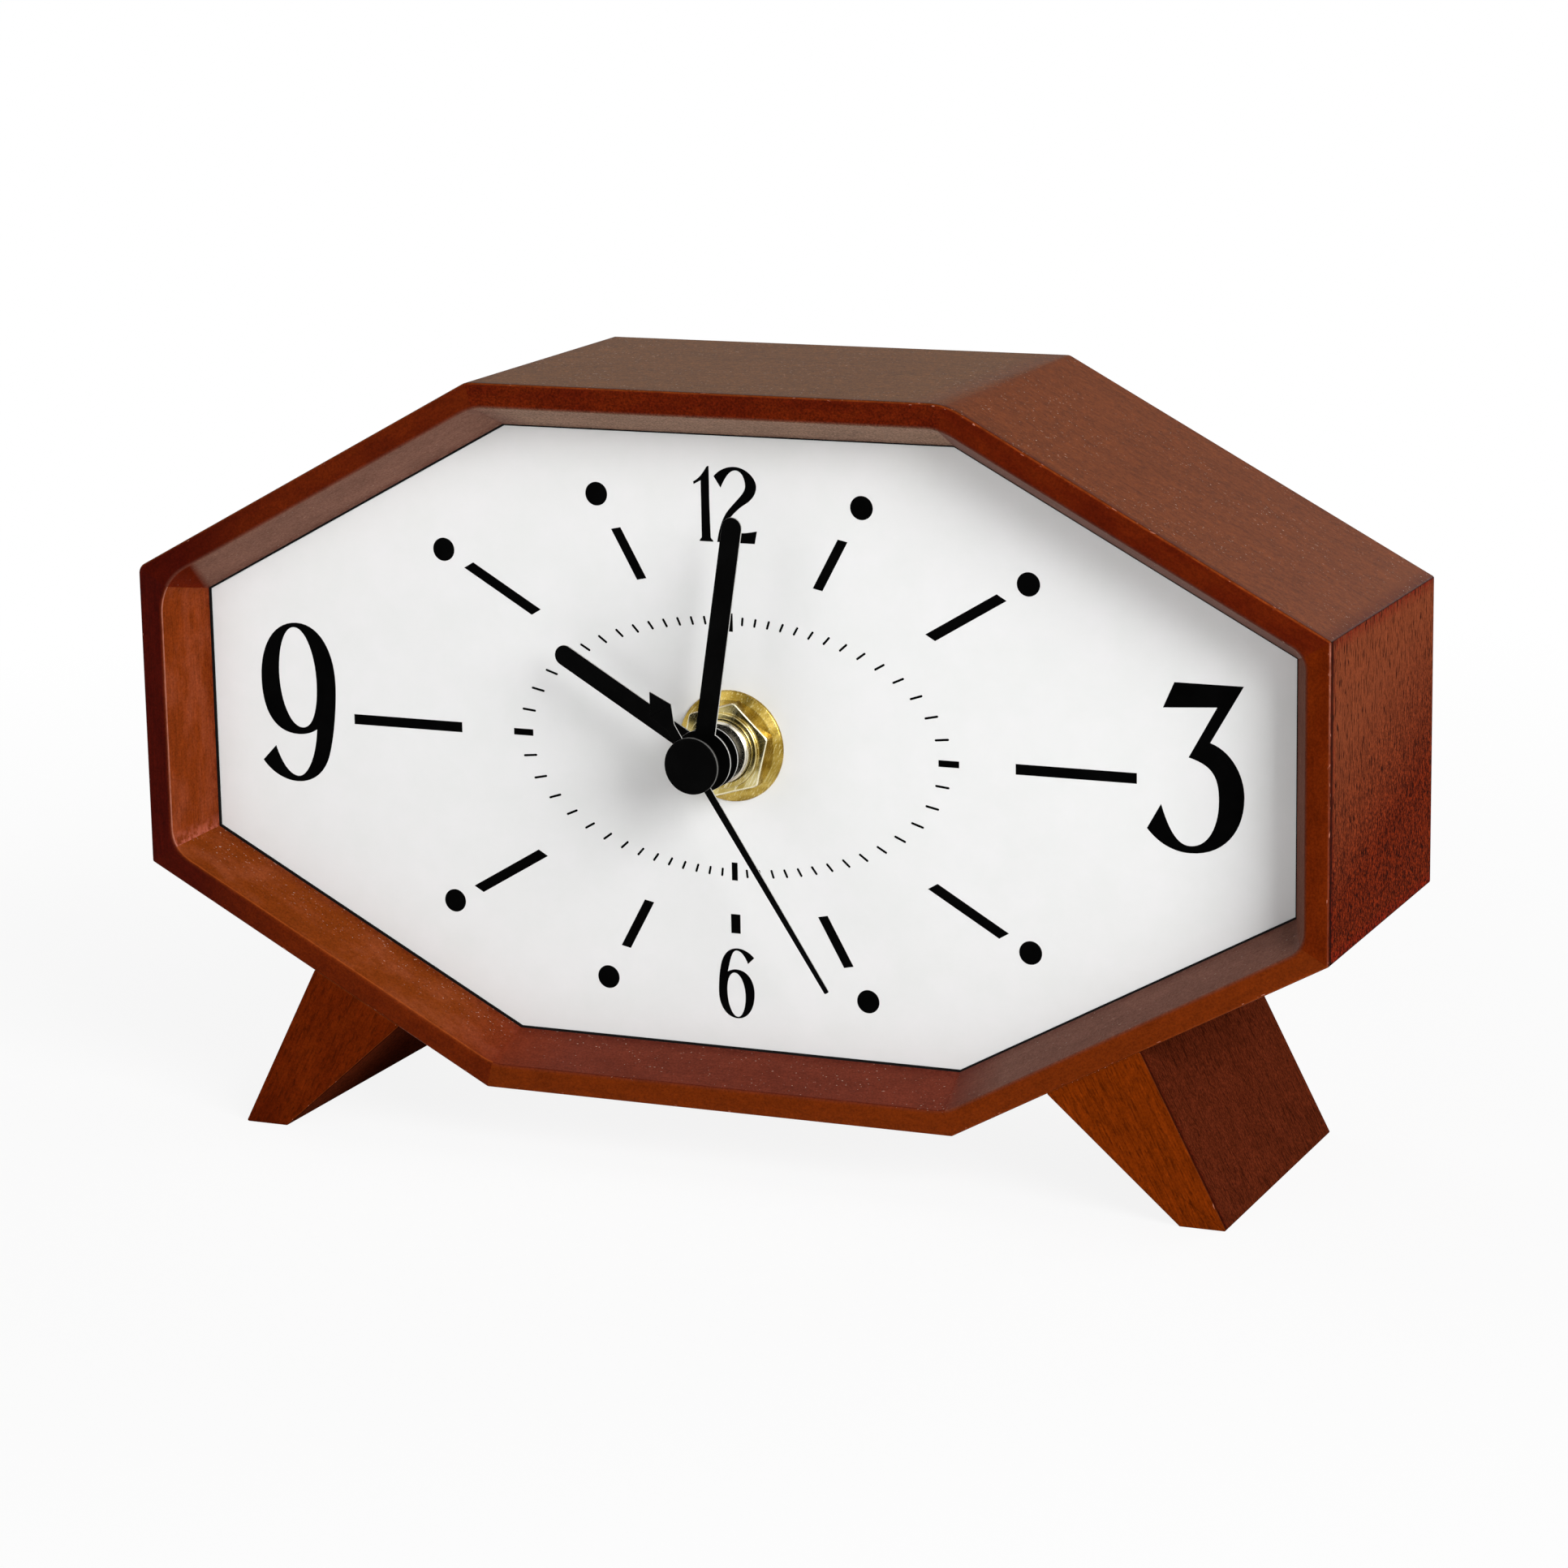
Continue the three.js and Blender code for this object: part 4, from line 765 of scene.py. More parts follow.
# Plain finishes by slot: name, two near colours, grain in millimetres, roughness, metal, bump and
# specular level
PLAIN = {
    "dial": ("dial_white", (236, 237, 236), (239, 239, 239), 0.2, 0.6, 0, 0.03, 0.25),
    "dial_print": ("black_ink", (4, 4, 4), (8, 8, 8), 0.1, 0.55, 0, 0.05, 0.0),
    "brass": ("polished_brass", (222, 190, 96), (236, 208, 120), 0.2, 0.22, 1, 0.06),
    "nickel": ("nickel_plate", (214, 208, 190), (226, 220, 204), 0.2, 0.25, 1, 0.05),
    "steel": ("zinc_plate", (170, 172, 176), (190, 192, 194), 0.2, 0.35, 1, 0.08),
    "black_plastic": ("black_moulding", (30, 30, 31), (36, 36, 37), 0.25, 0.5, 0, 0.2, 0.4),
    "gear_plastic": ("natural_moulding", (226, 222, 210), (234, 231, 222), 0.3, 0.4, 0, 0.05),
    "rubber": ("black_rubber", (14, 13, 13), (20, 19, 19), 0.3, 0.8, 0, 0.2, 0.1),
    "copper": ("enamelled_wire", (188, 96, 50), (206, 116, 66), 0.2, 0.35, 1, 0.3),
    "circuit": ("solder_mask", (28, 84, 48), (34, 98, 58), 0.4, 0.45, 0, 0.05),
    "block_wood": ("raw_wood", (186, 146, 100), (206, 170, 124), 0.4, 0.75, 0, 0.3, 0.2),
    "battery": ("battery_sleeve", (40, 66, 112), (48, 76, 126), 0.4, 0.35, 0.3, 0.03),
}
FINISHES = {slot: flat_finish(*plain) for slot, plain in PLAIN.items()}
FINISHES["board"] = pressed_fibre()
FINISHES["hands"] = lacquered()


def dress_nodes():
    """Every CAD node that stays in view takes the finish of its slot in the record."""
    for part in frame["record"]["subparts"]:
        if part["material_slot"] in FINISHES:
            mesh = nodes[part["node"]].data
            mesh.materials.clear()
            mesh.materials.append(FINISHES[part["material_slot"]])


# Feet
FOOT_EDGE = 0.18
FOOT_CORNER = 0.25
FOOT_SLOPE = 62


def slant(sign, run, distance):
    """A point of the lower slanting side: run up the side from its lower corner, distance out."""
    corner = np.array([TOP_HALF, -HALF_HEIGHT])
    along = np.array([HALF_WIDTH, -END_HALF]) - corner
    along /= np.linalg.norm(along)
    out = np.array([along[1], -along[0]])
    x, z = corner + run * along + distance * out
    return sign * x, z


FOOT_SEAT_START = 17.8
FOOT_SEAT_WIDTH = 17.1
GLUE_LINE = -0.15
TOE_WIDTH = 7.5


def foot(sign, name, material):
    """A slab with its seat on the slanting side and a narrow toe on the ground."""
    low, high = span(name)
    toe_outer = sign * max(abs(low[0]), abs(high[0]))
    ground = low[2]
    outline = [(*slant(sign, FOOT_SEAT_START, GLUE_LINE), FOOT_CORNER),
               (toe_outer - sign * TOE_WIDTH, ground, FOOT_CORNER),
               (toe_outer, ground, FOOT_CORNER),
               (*slant(sign, FOOT_SEAT_START + FOOT_SEAT_WIDTH, GLUE_LINE), FOOT_CORNER)]
    points, normals, _ = contour(outline)
    solid, faces = plate(points, normals, 0, FOOT_DEPTH, FOOT_EDGE)
    # The rings in the middle of the two rounded edges, rubbed and with a painted highlight, and all
    # those between the two middles
    rubbed_and_highlit_edge, sides = np.zeros((2, *solid.shape[:2]))
    rubbed_and_highlit_edge[2:5] = rubbed_and_highlit_edge[-5:-2] = 1
    sides[3:-3] = 1
    mesh_piece("block_" + name, [(solid, faces)], "case", "foot_wood", [name], material,
               wear=rubbed_and_highlit_edge, outer=sides)


# Hands
HAND_WIDTH = 3.3
HUB_DIAMETER = 9.7
HUB_THICKNESS = 0.9
HAND_EDGE = 0.1
HOUR = {"length": 30, "angle": 300.75, "bore": 5.2}
MINUTE = {"length": 38.8, "angle": 9, "bore": 3.4}
SECOND_ANGLE = 147.6
SECOND_LENGTH = 40.6
HAND_THICKNESS = 0.4
SECOND_THICKNESS = 0.3
SECOND_EDGE = 0.05
# The second hand's outline as (x, z, rounding): a needle from its shoulders to its tip, and an arrow
# tail. The sleeve behind it fits the seconds arbor
NEEDLE = [(0.65, 0, 0), (0.4, SECOND_LENGTH, 0.2), (-0.4, SECOND_LENGTH, 0.2), (-0.65, 0, 0),
          (-0.8, -6.9, 0.4), (-2.1, -9.8, 0.1), (0, -13.2, 0.1), (2.1, -9.8, 0.1), (0.8, -6.9, 0.4)]
SLEEVE_RADIUS = 1.5
SLEEVE_BORE = 0.6


def cut_edge(sheet, front, thickness, others=(), share=1.0):
    """A mark at the points between a sheet's rounded edges, and none on the shells after it."""
    depth = sheet[0][..., 1].ravel()
    cut = share * (np.abs(depth - front - thickness / 2) < thickness / 2 - 0.35 * HAND_EDGE)
    return np.concatenate([cut] + [np.zeros(other[0][..., 1].size) for other in others])


def bar_hand(name, body, length, angle, bore):
    """A bar with a round end on a hub, whose outline is the tip's half circle, the bar's sides and the
    rest of the hub's circle. The hub is thicker than the bar towards the dial."""
    front = span(name)[0][1]
    half = HAND_WIDTH / 2
    hub = HUB_DIAMETER / 2
    shoulder = math.degrees(math.acos(half / hub))
    tip = arc((0, length - half), half, 0, 180, 32)
    round_hub = arc((0, 0), hub, 180 - shoulder, 360 + shoulder, 72)
    points = np.vstack([tip[0], round_hub[0]])
    normals = np.vstack([tip[1], round_hub[1]])
    bar = plate(points, normals, front, front + HAND_THICKNESS, HAND_EDGE, bore / 2)
    boss = turned([(bore / 2, front + HAND_THICKNESS, 0), (hub - HAND_EDGE, front + HAND_THICKNESS, 0),
                   (hub - HAND_EDGE, front + HUB_THICKNESS, HAND_EDGE), (bore / 2, front + HUB_THICKNESS, 0)])
    shells = [clockwise(shell, angle) for shell in (bar, boss)]
    mesh_piece(name + "_blade", shells, body, "hands", [name],
               cut=cut_edge(shells[0], front, HAND_THICKNESS, shells[1:]))


def second_hand():
    """A needle that tapers to its tip, with an arrow-shaped tail and a turned sleeve behind it."""
    front = span("second_hand")[0][1]
    points, normals, _ = contour(NEEDLE)
    needle = plate(points, normals, front, front + SECOND_THICKNESS, SECOND_EDGE)
    lid, bottom, end = front + 0.1, front + 0.4, front + 2.1
    sleeve = turned([(0, lid, 0), (SLEEVE_RADIUS, lid, 0), (SLEEVE_RADIUS, end, 0.1),
                     (SLEEVE_BORE, end, 0), (SLEEVE_BORE, bottom, 0), (0, bottom, 0)], 48)
    shells = [clockwise(shell, SECOND_ANGLE) for shell in (needle, sleeve)]
    mesh_piece("second_needle", shells, "second", "hands", ["second_hand"],
               cut=cut_edge(shells[0], front, SECOND_THICKNESS, shells[1:]))


CAP_DIAMETER = 8.9
CAP_EDGE = 0.3


def hand_cap():
    """A flat disc with rounded edges that covers the middle of the second hand."""
    front, back = [corner[1] for corner in span("second_hand_cap")]
    radius = CAP_DIAMETER / 2
    shell = turned([(0, front, 0), (radius, front, CAP_EDGE), (radius, back, 0.1), (0, back, 0)])
    # The cap's rim takes a quarter of the pale edge colour: a painted glint
    mesh_piece("second_cap", [shell], "second", "hands", ["second_hand_cap"],
               cut=cut_edge(shell, front + CAP_EDGE / 2, CAP_EDGE, share=0.25))


# Bush, washer and nut
THREAD_PITCH = 0.75
THREAD_DEPTH = 0.1
BUSH_RADIUS = 5.0
BUSH_BORE = 2.8
# Depths where the bush's thread ends and where its wide foot begins
BUSH_THREAD_END = 13
BUSH_FOOT = 15.2
WASHER_BORE = 5.1
# The washer is flat to this radius and then slopes down to its rim, which is this thick
WASHER_FLAT = 7.6
WASHER_RIM = 0.35
NUT_BORE = 5.1
NUT_ANGLE = 16
NUT_ACROSS = 13.6
NUT_RADIUS = NUT_ACROSS / 2 / math.cos(math.pi / 6)
NUT_BEVEL = 0.14
# The nut's round collar and how far it stands before the flat face, the radius beyond which the
# profile is made six-sided, and how much is cut off the six corners
NUT_COLLAR = 6
NUT_COLLAR_HEIGHT = 0.7
NUT_FLATS_FROM = 6.6
NUT_CORNER_CUT = 0.12
NUT_STEPS = 192


def wave(turn):
    """A triangle wave of a number of turns: 1 at each whole turn, 0 half way between."""
    return np.abs(2 * (turn - np.floor(turn)) - 1)


def threaded(radius, angle, depth):
    """A thread: the radius falls by a triangle wave of depth / pitch - angle / full turn."""
    outer = (radius > BUSH_RADIUS - 0.5) & (radius < BUSH_RADIUS + 0.1)
    return radius - THREAD_DEPTH * outer * wave(depth / THREAD_PITCH - angle / (2 * np.pi))


def bush():
    """A threaded tube on a wide foot: its profile, carried round the depth axis."""
    low, high = span("threaded_bush")
    rows = np.arange(low[1] + 0.3, BUSH_THREAD_END, THREAD_PITCH / 8)
    corners = [(BUSH_BORE, low[1], 0.2), (BUSH_RADIUS - 0.35, low[1], 0.1),
               *[(BUSH_RADIUS, depth, 0) for depth in rows], (BUSH_RADIUS, BUSH_FOOT, 0),
               (high[0], BUSH_FOOT, 0.1), (high[0], high[1], 0.1), (BUSH_BORE, high[1], 0.1)]
    mesh_piece("bush_thread", [turned(corners, 96, threaded)], "case", "nickel", ["threaded_bush"])


def plated(name, dark, middle, pale, roughness=0.28):
    """Polished plate over a pressed or turned piece: its tone drifts, with fine bright scratches,
    and its edges take a painted highlight."""
    made = Finish(name, Metallic=1.0, Roughness=roughness)
    drift = made.noise((5, 5, 3), 2, 0.5, 30, warp=0.4)
    scratch = made.noise((2.5, 0.2, 0.2), 3, 0.6, 60)
    fine = made.noise(0.3, 2, 0.6)
    colour = made.mix(made.between(drift, 0.4, 0.6), rgb(*dark), rgb(*middle))
    for share in (made.between(scratch, 0.55, 0.68, 0, 0.7), made.mark("edge")):
        colour = made.mix(share, colour, rgb(*pale))
    spread = made.ranged(fine, roughness * 0.8, roughness * 1.25)
    height = made.math("ADD", made.times(drift, 3), made.times(scratch, 0.4))
    return made.finish(colour, spread, height, 0.25)


def washer():
    """A pressed disc whose outer rim is turned down towards the dial."""
    low, high = span("brass_washer")
    corners = [(WASHER_BORE, low[1], 0.1), (WASHER_FLAT, low[1], 0.25),
               (high[0] - 0.1, high[1] - WASHER_RIM, 0.2), (high[0], high[1], 0),
               (WASHER_BORE, high[1], 0)]
    finish = plated("washer_brass", (150, 122, 44), (196, 168, 84), (232, 214, 150))
    mesh_piece("washer_disc", [turned(corners, 128)], "case", "brass", ["brass_washer"], finish)


def hexagonal(radius, angle, depth):
    """Six flats: half the width across flats over cos of the angle from the middle of the nearest
    flat, cut by a cylinder at the corners and moved in by as much as the radius is short of them."""
    sixth = np.pi / 3
    start = math.radians(NUT_ANGLE) + sixth / 2
    off_flat = (angle - start + sixth / 2) % sixth - sixth / 2
    flats = np.minimum(NUT_ACROSS / 2 / np.cos(off_flat), NUT_RADIUS - NUT_CORNER_CUT)
    return np.where(radius > NUT_FLATS_FROM, flats - (NUT_RADIUS - radius), radius)


def nut():
    """A collar before a bevelled hexagon: a round profile whose outer part is made six-sided. Each
    corner's fourth number is how much painted highlight its edge takes."""
    low, high = span("hex_nut")
    front = low[1] + NUT_COLLAR_HEIGHT
    corners = [(NUT_BORE, low[1], 0.1, 0.1), (NUT_COLLAR, low[1], 0.2, 0.2), (NUT_COLLAR, front, 0.1, 0),
               (NUT_COLLAR + 0.2, front, 0, 0), (NUT_RADIUS - 0.35, front, 0, 0),
               (NUT_RADIUS - NUT_BEVEL, front, 0, 1), (NUT_RADIUS, front + NUT_BEVEL, 0, 1),
               (NUT_RADIUS, front + 0.4, 0, 0), (NUT_RADIUS, high[1], 0, 0), (NUT_BORE, high[1], 0, 0)]
    painted_highlight = np.repeat(contour(corners)[2], NUT_STEPS, 1)
    finish = plated("nut_brass", (168, 146, 72), (206, 190, 128), (246, 238, 204), 0.22)
    mesh_piece("nut_hexagon", [turned(corners, NUT_STEPS, hexagonal)], "case", "brass", ["hex_nut"],
               finish, edge=painted_highlight)


# Black strip between the case and the dial
STRIP_SHOWN = 0.12
STRIP_GAP = 0.02


def inset_corners(distance):
    """The octagon moved in: corner + distance * (n1 + n2) / (1 + n1 . n2), with n the sides' inward
    normals."""
    along = np.roll(OCTAGON, -1, 0) - OCTAGON
    along /= np.linalg.norm(along, axis=1)[:, None]
    inward = np.stack([along[:, 1], -along[:, 0]], 1)
    before = np.roll(inward, 1, 0)
    return OCTAGON + distance * (before + inward) / (1 + (before * inward).sum(1))[:, None]


def black_strip():
    """A thin black strip between the lip and the dial that shows just past the lip, its section
    carried round the octagon.
    """
    front, back = LIP_BACK + STRIP_GAP, DIAL_FRONT - STRIP_GAP
    section = [(LIP + STRIP_SHOWN, front), (LIP + STRIP_SHOWN, back), (WALL + 0.1, back),
               (WALL + 0.1, front)]
    flat = np.stack([inset_corners(distance) for distance, _ in section])
    points = solid_points(flat, np.array([depth for _, depth in section])[:, None])
    faces = quads(4, 8, close_rows=True, close_columns=True)
    mesh_piece("dial_black_strip", [(points, faces)], "case", "rubber")


# Dial print. Outlines are drawn in millimetres from the dial's middle, as a start and then lines
# to a point or curves by two handles and an end.
NINE = [(-83.7, -8.2), (-81.25, -5.65), (-80.5, -8.0, -79.1, -10.45, -77.3, -10.5),
        (-75.6, -10.5, -73.9, -7.2, -73.55, -2.5), (-74.4, -3.1, -75.6, -3.5, -77.0, -3.5),
        (-81.0, -3.5, -83.45, -0.6, -83.45, 5.4), (-83.45, 11.0, -80.8, 14.95, -76.6, 14.95),
        (-72.6, 14.95, -69.85, 10.9, -69.85, 5.0), (-69.85, 1.2, -70.5, -3.7, -71.4, -6.6),
        (-72.3, -9.6, -74.6, -11.4, -77.5, -11.4), (-79.9, -11.4, -82.2, -10.2, -83.7, -8.2)]
NINE_COUNTER = [(-77.1, 14.2), (-74.9, 14.2, -73.3, 9.6, -73.3, 5.0),
                (-73.3, 0.6, -74.3, -2.35, -76.2, -2.35),
                (-78.6, -2.35, -80.15, 2.3, -80.15, 6.5), (-80.15, 10.9, -78.9, 14.2, -77.1, 14.2)]
THREE = [(72.85, 14.95), (83.75, 14.95), (78.5, 6.0), (82.0, 4.9, 83.9, 1.2, 83.9, -2.1),
         (83.9, -7.4, 80.6, -11.25, 75.4, -11.25), (72.6, -11.25, 70.3, -10.0, 68.5, -7.85), (70.75, -3.95),
         (71.8, -7.3, 73.1, -10.15, 75.35, -10.15), (78.3, -10.15, 79.9, -6.7, 79.9, -2.9),
         (79.9, 0.9, 78.9, 2.55, 75.1, 3.55), (79.6, 11.5), (71.05, 10.95)]
SIX = [(3.2, -34.1), (2.1, -35.15), (1.75, -34.2, 1.1, -33.1, 0.2, -33.1),
       (-0.7, -33.1, -1.0, -35.0, -1.4, -36.65), (-1.0, -36.4, -0.5, -36.2, 0.1, -36.2),
       (1.9, -36.2, 3.15, -37.7, 3.15, -39.9), (3.15, -42.6, 1.8, -44.2, 0.15, -44.2),
       (-1.6, -44.2, -3.0, -42.6, -3.0, -40.0), (-3.0, -38.4, -2.8, -36.2, -2.35, -34.9),
       (-1.85, -33.5, -0.9, -32.75, 0.4, -32.75), (1.4, -32.75, 2.5, -33.3, 3.2, -34.1)]
SIX_COUNTER = [(-0.2, -36.75), (0.7, -36.75, 1.6, -38.4, 1.6, -40.5),
               (1.6, -42.4, 1.0, -43.95, 0.2, -43.95),
               (-0.8, -43.95, -1.55, -41.9, -1.55, -39.6), (-1.55, -37.9, -1.0, -36.75, -0.2, -36.75)]
ONE = [(-2.9, 44.1), (-2.9, 38), (-2.8, 33.0), (-2.8, 32.7, -2.4, 32.6, -2.35, 32.25), (-4.7, 32.25),
       (-4.65, 32.6, -4.3, 32.7, -4.3, 33.0), (-4.3, 41.8), (-5.5, 41.15), (-5.6, 41.55),
       (-4.7, 42.0, -3.9, 42.9, -3.35, 43.9), (-3.1, 44.1)]
TWO = [(-2.1, 42.55), (-1.3, 43.5, 0.0, 44.15, 1.4, 44.15), (3.3, 44.15, 5.05, 42.6, 5.05, 41.2),
       (5.05, 40.0, 4.2, 39.0, 3.0, 38.3), (2.2, 37.8, 1.4, 37.1, 0.7, 36.3),
       (0.2, 35.6, -0.05, 34.7, -0.1, 33.85), (2.7, 33.85), (3.5, 33.9, 4.3, 34.1, 5.05, 34.25),
       (4.65, 32.25), (-1.7, 32.25), (-1.4, 34.0, -0.9, 35.7, 0.0, 37.0),
       (1.3, 38.7, 3.2, 40.0, 3.2, 41.2), (3.2, 42.4, 2.6, 43.6, 1.6, 43.6),
       (0.5, 43.6, -0.3, 42.2, -0.95, 40.8)]
INK = 0.02
PRINT_MIDDLE = np.array([0.15, -0.3])


def drawn(path, steps=14):
    """A closed outline from a path, each curve by the cubic formula of its four points."""
    points = [np.array(path[0], float)[None]]
    for item in path[1:]:
        knots = np.vstack([points[-1][-1], np.reshape(item, (-1, 2))])
        if len(knots) == 2:
            points.append(knots[1:])
            continue
        t = np.linspace(0, 1, steps + 1)[1:, None]
        points.append((1 - t) ** 3 * knots[0] + 3 * (1 - t) ** 2 * t * knots[1]
                      + 3 * (1 - t) * t ** 2 * knots[2] + t ** 3 * knots[3])
    outline = np.vstack(points)
    return outline[:-1] if np.allclose(outline[0], outline[-1]) else outline


def raised(name, outlines, middle, thickness, slot):
    """Flat outlines filled, holes left open, as a solid of that thickness about a middle depth."""
    curve = bpy.data.curves.new(name, "CURVE")
    curve.dimensions = "2D"
    curve.fill_mode = "BOTH"
    curve.extrude = thickness / 2 * MM
    for outline in outlines:
        spline = curve.splines.new("POLY")
        spline.points.add(len(outline) - 1)
        flat = np.zeros((len(outline), 4))
        flat[:, :2] = outline * MM
        spline.points.foreach_set("co", flat.ravel())
        spline.use_cyclic_u = True
    drawing = linked(name + "_drawing", curve)
    bpy.context.view_layer.update()
    mesh = bpy.data.meshes.new_from_object(drawing.evaluated_get(bpy.context.evaluated_depsgraph_get()))
    bpy.data.objects.remove(drawing)
    flat = np.zeros(len(mesh.vertices) * 3)
    mesh.vertices.foreach_get("co", flat)
    flat = flat.reshape(-1, 3) / MM
    faces = [list(face.vertices) for face in mesh.polygons]
    bpy.data.meshes.remove(mesh)
    mesh_piece(name, [(solid_points(flat, middle - flat[:, 2]), faces)], "case", slot)


def printed(name, outlines):
    """Outlines as a thin layer of ink on the front of the dial."""
    raised(name, outlines, DIAL_FRONT - INK / 2, INK, "dial_print")


DOTS = ((22.4, 39.1), (49.5, 28.8))
DOT_DIAMETER = 3.75
# Hour bars in the upper right quarter: middle, length, thickness, direction and the slope of the ends
SHORT_BAR = ((17.05, 29.9), 8.95, 1.57, 61.4, -12)
LONG_BAR = ((39.3, 23.05), 13.6, 1.63, 30.6, -30.5)
LEVEL_BAR = ((57, 0), 19.5, 1.65, 0, 90)
SMALL_BAR = ((0, 28.45), 3.1, 1.6, 90, 0)
TRACK_OUTER = (37.0, 20.9)
TRACK_INNER = (34.6, 19.5)
TICK_WIDTH = 0.36
SIDE_TICK = ((36.3, 0), 3.4, 1.05, 0, 90)
TOP_TICK = ((0, 19.95), 2.9, 1.0, 90, 0)


def bar(middle, length, thickness, direction, end_slope):
    """A bar with slanted ends: its middle, plus or minus half its length along it, plus or minus
    half its slanted end, which is as long as gives the bar its thickness."""
    lengthwise = math.radians(direction)
    across = math.radians(end_slope)
    half_end = thickness / 2 / abs(math.sin(across - lengthwise))
    long_way = length / 2 * np.array([math.cos(lengthwise), math.sin(lengthwise)])
    end_way = half_end * np.array([math.cos(across), math.sin(across)])
    signs = ((1, 1), (-1, 1), (-1, -1), (1, -1))
    return np.array(middle) + np.array([a * long_way + b * end_way for a, b in signs])


def mirrored(outline, four=True):
    """The outline and its mirror images across the dial's upright and level middle lines, or only
    the image across both of them."""
    signs = ((1, 1), (-1, 1), (1, -1), (-1, -1)) if four else ((1, 1), (-1, -1))
    return [outline * np.array(sign) + PRINT_MIDDLE for sign in signs]


def tick(minute):
    """A thin stroke along the minute's own direction, between two ellipses whose radius at an angle
    is 1 / hypot(sin / half width, cos / half height)."""
    angle = math.radians(6 * minute)
    way = np.array([math.sin(angle), math.cos(angle)])
    inner, outer = [1 / math.hypot(way[0] / wide, way[1] / tall)
                    for wide, tall in (TRACK_INNER, TRACK_OUTER)]
    half = TICK_WIDTH / 2
    facing = math.degrees(math.atan2(way[1], way[0]))
    ends = [arc((outer - half) * way, half, facing - 90, facing + 90, 6)[0],
            arc((inner + half) * way, half, facing + 90, facing + 270, 6)[0]]
    return np.vstack(ends) + PRINT_MIDDLE


def dial_print():
    """The numerals, the dots and bars of the hours, and the minute track without its quarters."""
    printed("numerals", [drawn(path) for path in (NINE, NINE_COUNTER, THREE, SIX, SIX_COUNTER, ONE, TWO)])
    marks = []
    for place in DOTS:
        marks += mirrored(arc(place, DOT_DIAMETER / 2, 0, 360, 48)[0][:-1])
    for shape in (SHORT_BAR, LONG_BAR):
        marks += mirrored(bar(*shape))
    for shape in (LEVEL_BAR, SMALL_BAR):
        marks += mirrored(bar(*shape), four=False)
    printed("hour_marks", marks)
    track = [tick(minute) for minute in range(60) if minute % 15]
    for shape in (SIDE_TICK, TOP_TICK):
        track += mirrored(bar(*shape), four=False)
    printed("minute_track", track)


# Movement pieces that show from behind
KNOB_RADIUS = 6
KNOB_FLUTES = 20
KNOB_FLUTE_DEPTH = 0.5
# Radius and depth of the hollow in the knob's end
KNOB_DISH = 4.3
KNOB_DISH_DEPTH = 0.5


def fluted(radius, angle, depth):
    """The knob's rim falls between its ribs by half the flute depth times (1 - cos(flutes * angle)),
    the less the nearer the middle."""
    ribs = KNOB_FLUTE_DEPTH / 2 * (1 - np.cos(KNOB_FLUTES * angle))
    return radius - np.where(radius > KNOB_RADIUS - 1, ribs * radius / KNOB_RADIUS, 0)


def knob():
    """A fluted disc with a hollow end: its profile, carried round the knob's own axis."""
    low, high = span("setting_knob")
    dish = high[1] - KNOB_DISH_DEPTH
    corners = [(0, low[1], 0), (KNOB_RADIUS, low[1], 0.3), (KNOB_RADIUS, high[1], 0.5),
               (KNOB_DISH, high[1], 0.2), (KNOB_DISH - 0.3, dish, 0.2), (0, dish, 0)]
    points, faces = turned(corners, 240, fluted)
    points = points + (low + high) / 2 * (1, 0, 1)
    mesh_piece("knob_rim", [(points, faces)], "setting", "gear_plastic", ["setting_knob"])


def softened(node, name, width, slot):
    """A copy of the CAD node's own mesh, merged, with its flats joined and its sharp edges rounded."""
    mesh = nodes[node].data.copy()
    mesh.name = name
    work = bmesh.new()
    work.from_mesh(mesh)
    bmesh.ops.remove_doubles(work, verts=work.verts, dist=1e-6)
    bmesh.ops.dissolve_limit(work, angle_limit=math.radians(1), verts=work.verts, edges=work.edges)
    sharp = [edge for edge in work.edges
             if edge.is_manifold and edge.calc_face_angle() > math.radians(50)]
    bmesh.ops.bevel(work, geom=sharp, offset=width * MM, offset_type="OFFSET", segments=3, profile=0.5,
                    affect="EDGES", clamp_overlap=True)
    work.to_mesh(mesh)
    work.free()
    even = placed(name, mesh, "case", slot, [node]).modifiers.new("flats_stay_flat", "WEIGHTED_NORMAL")
    even.weight = 100
    even.keep_sharp = True


def behind_the_dial():
    """Glue blocks, the movement's tray and its cover keep their own shapes with softer edges."""
    for part in frame["record"]["subparts"]:
        if part["node"].startswith("board_block"):
            softened(part["node"], part["node"].replace("board", "glued"), 0.5, "block_wood")
    softened("movement_case", "movement_tray", 0.3, "black_plastic")
    softened("movement_cover", "movement_lid", 0.3, "black_plastic")


# Screws through the lower slanting sides into the feet
SCREW_RUN = FOOT_SEAT_START + FOOT_SEAT_WIDTH / 2
SCREW_DEPTHS = {"front": 22, "rear": 42}
SCREW_PITCH = 1.4
SCREW_THREAD = 0.4
SCREW_SHANK = 1.75
SCREW_HEAD = 3.45
# How far below the inner wall the shank's plain neck, its thread and its point end
SCREW_NECK_END = 3
SCREW_THREAD_END = 15
SCREW_LENGTH = 18
CROSS_REACH = 2.0
CROSS_HALF = 0.42


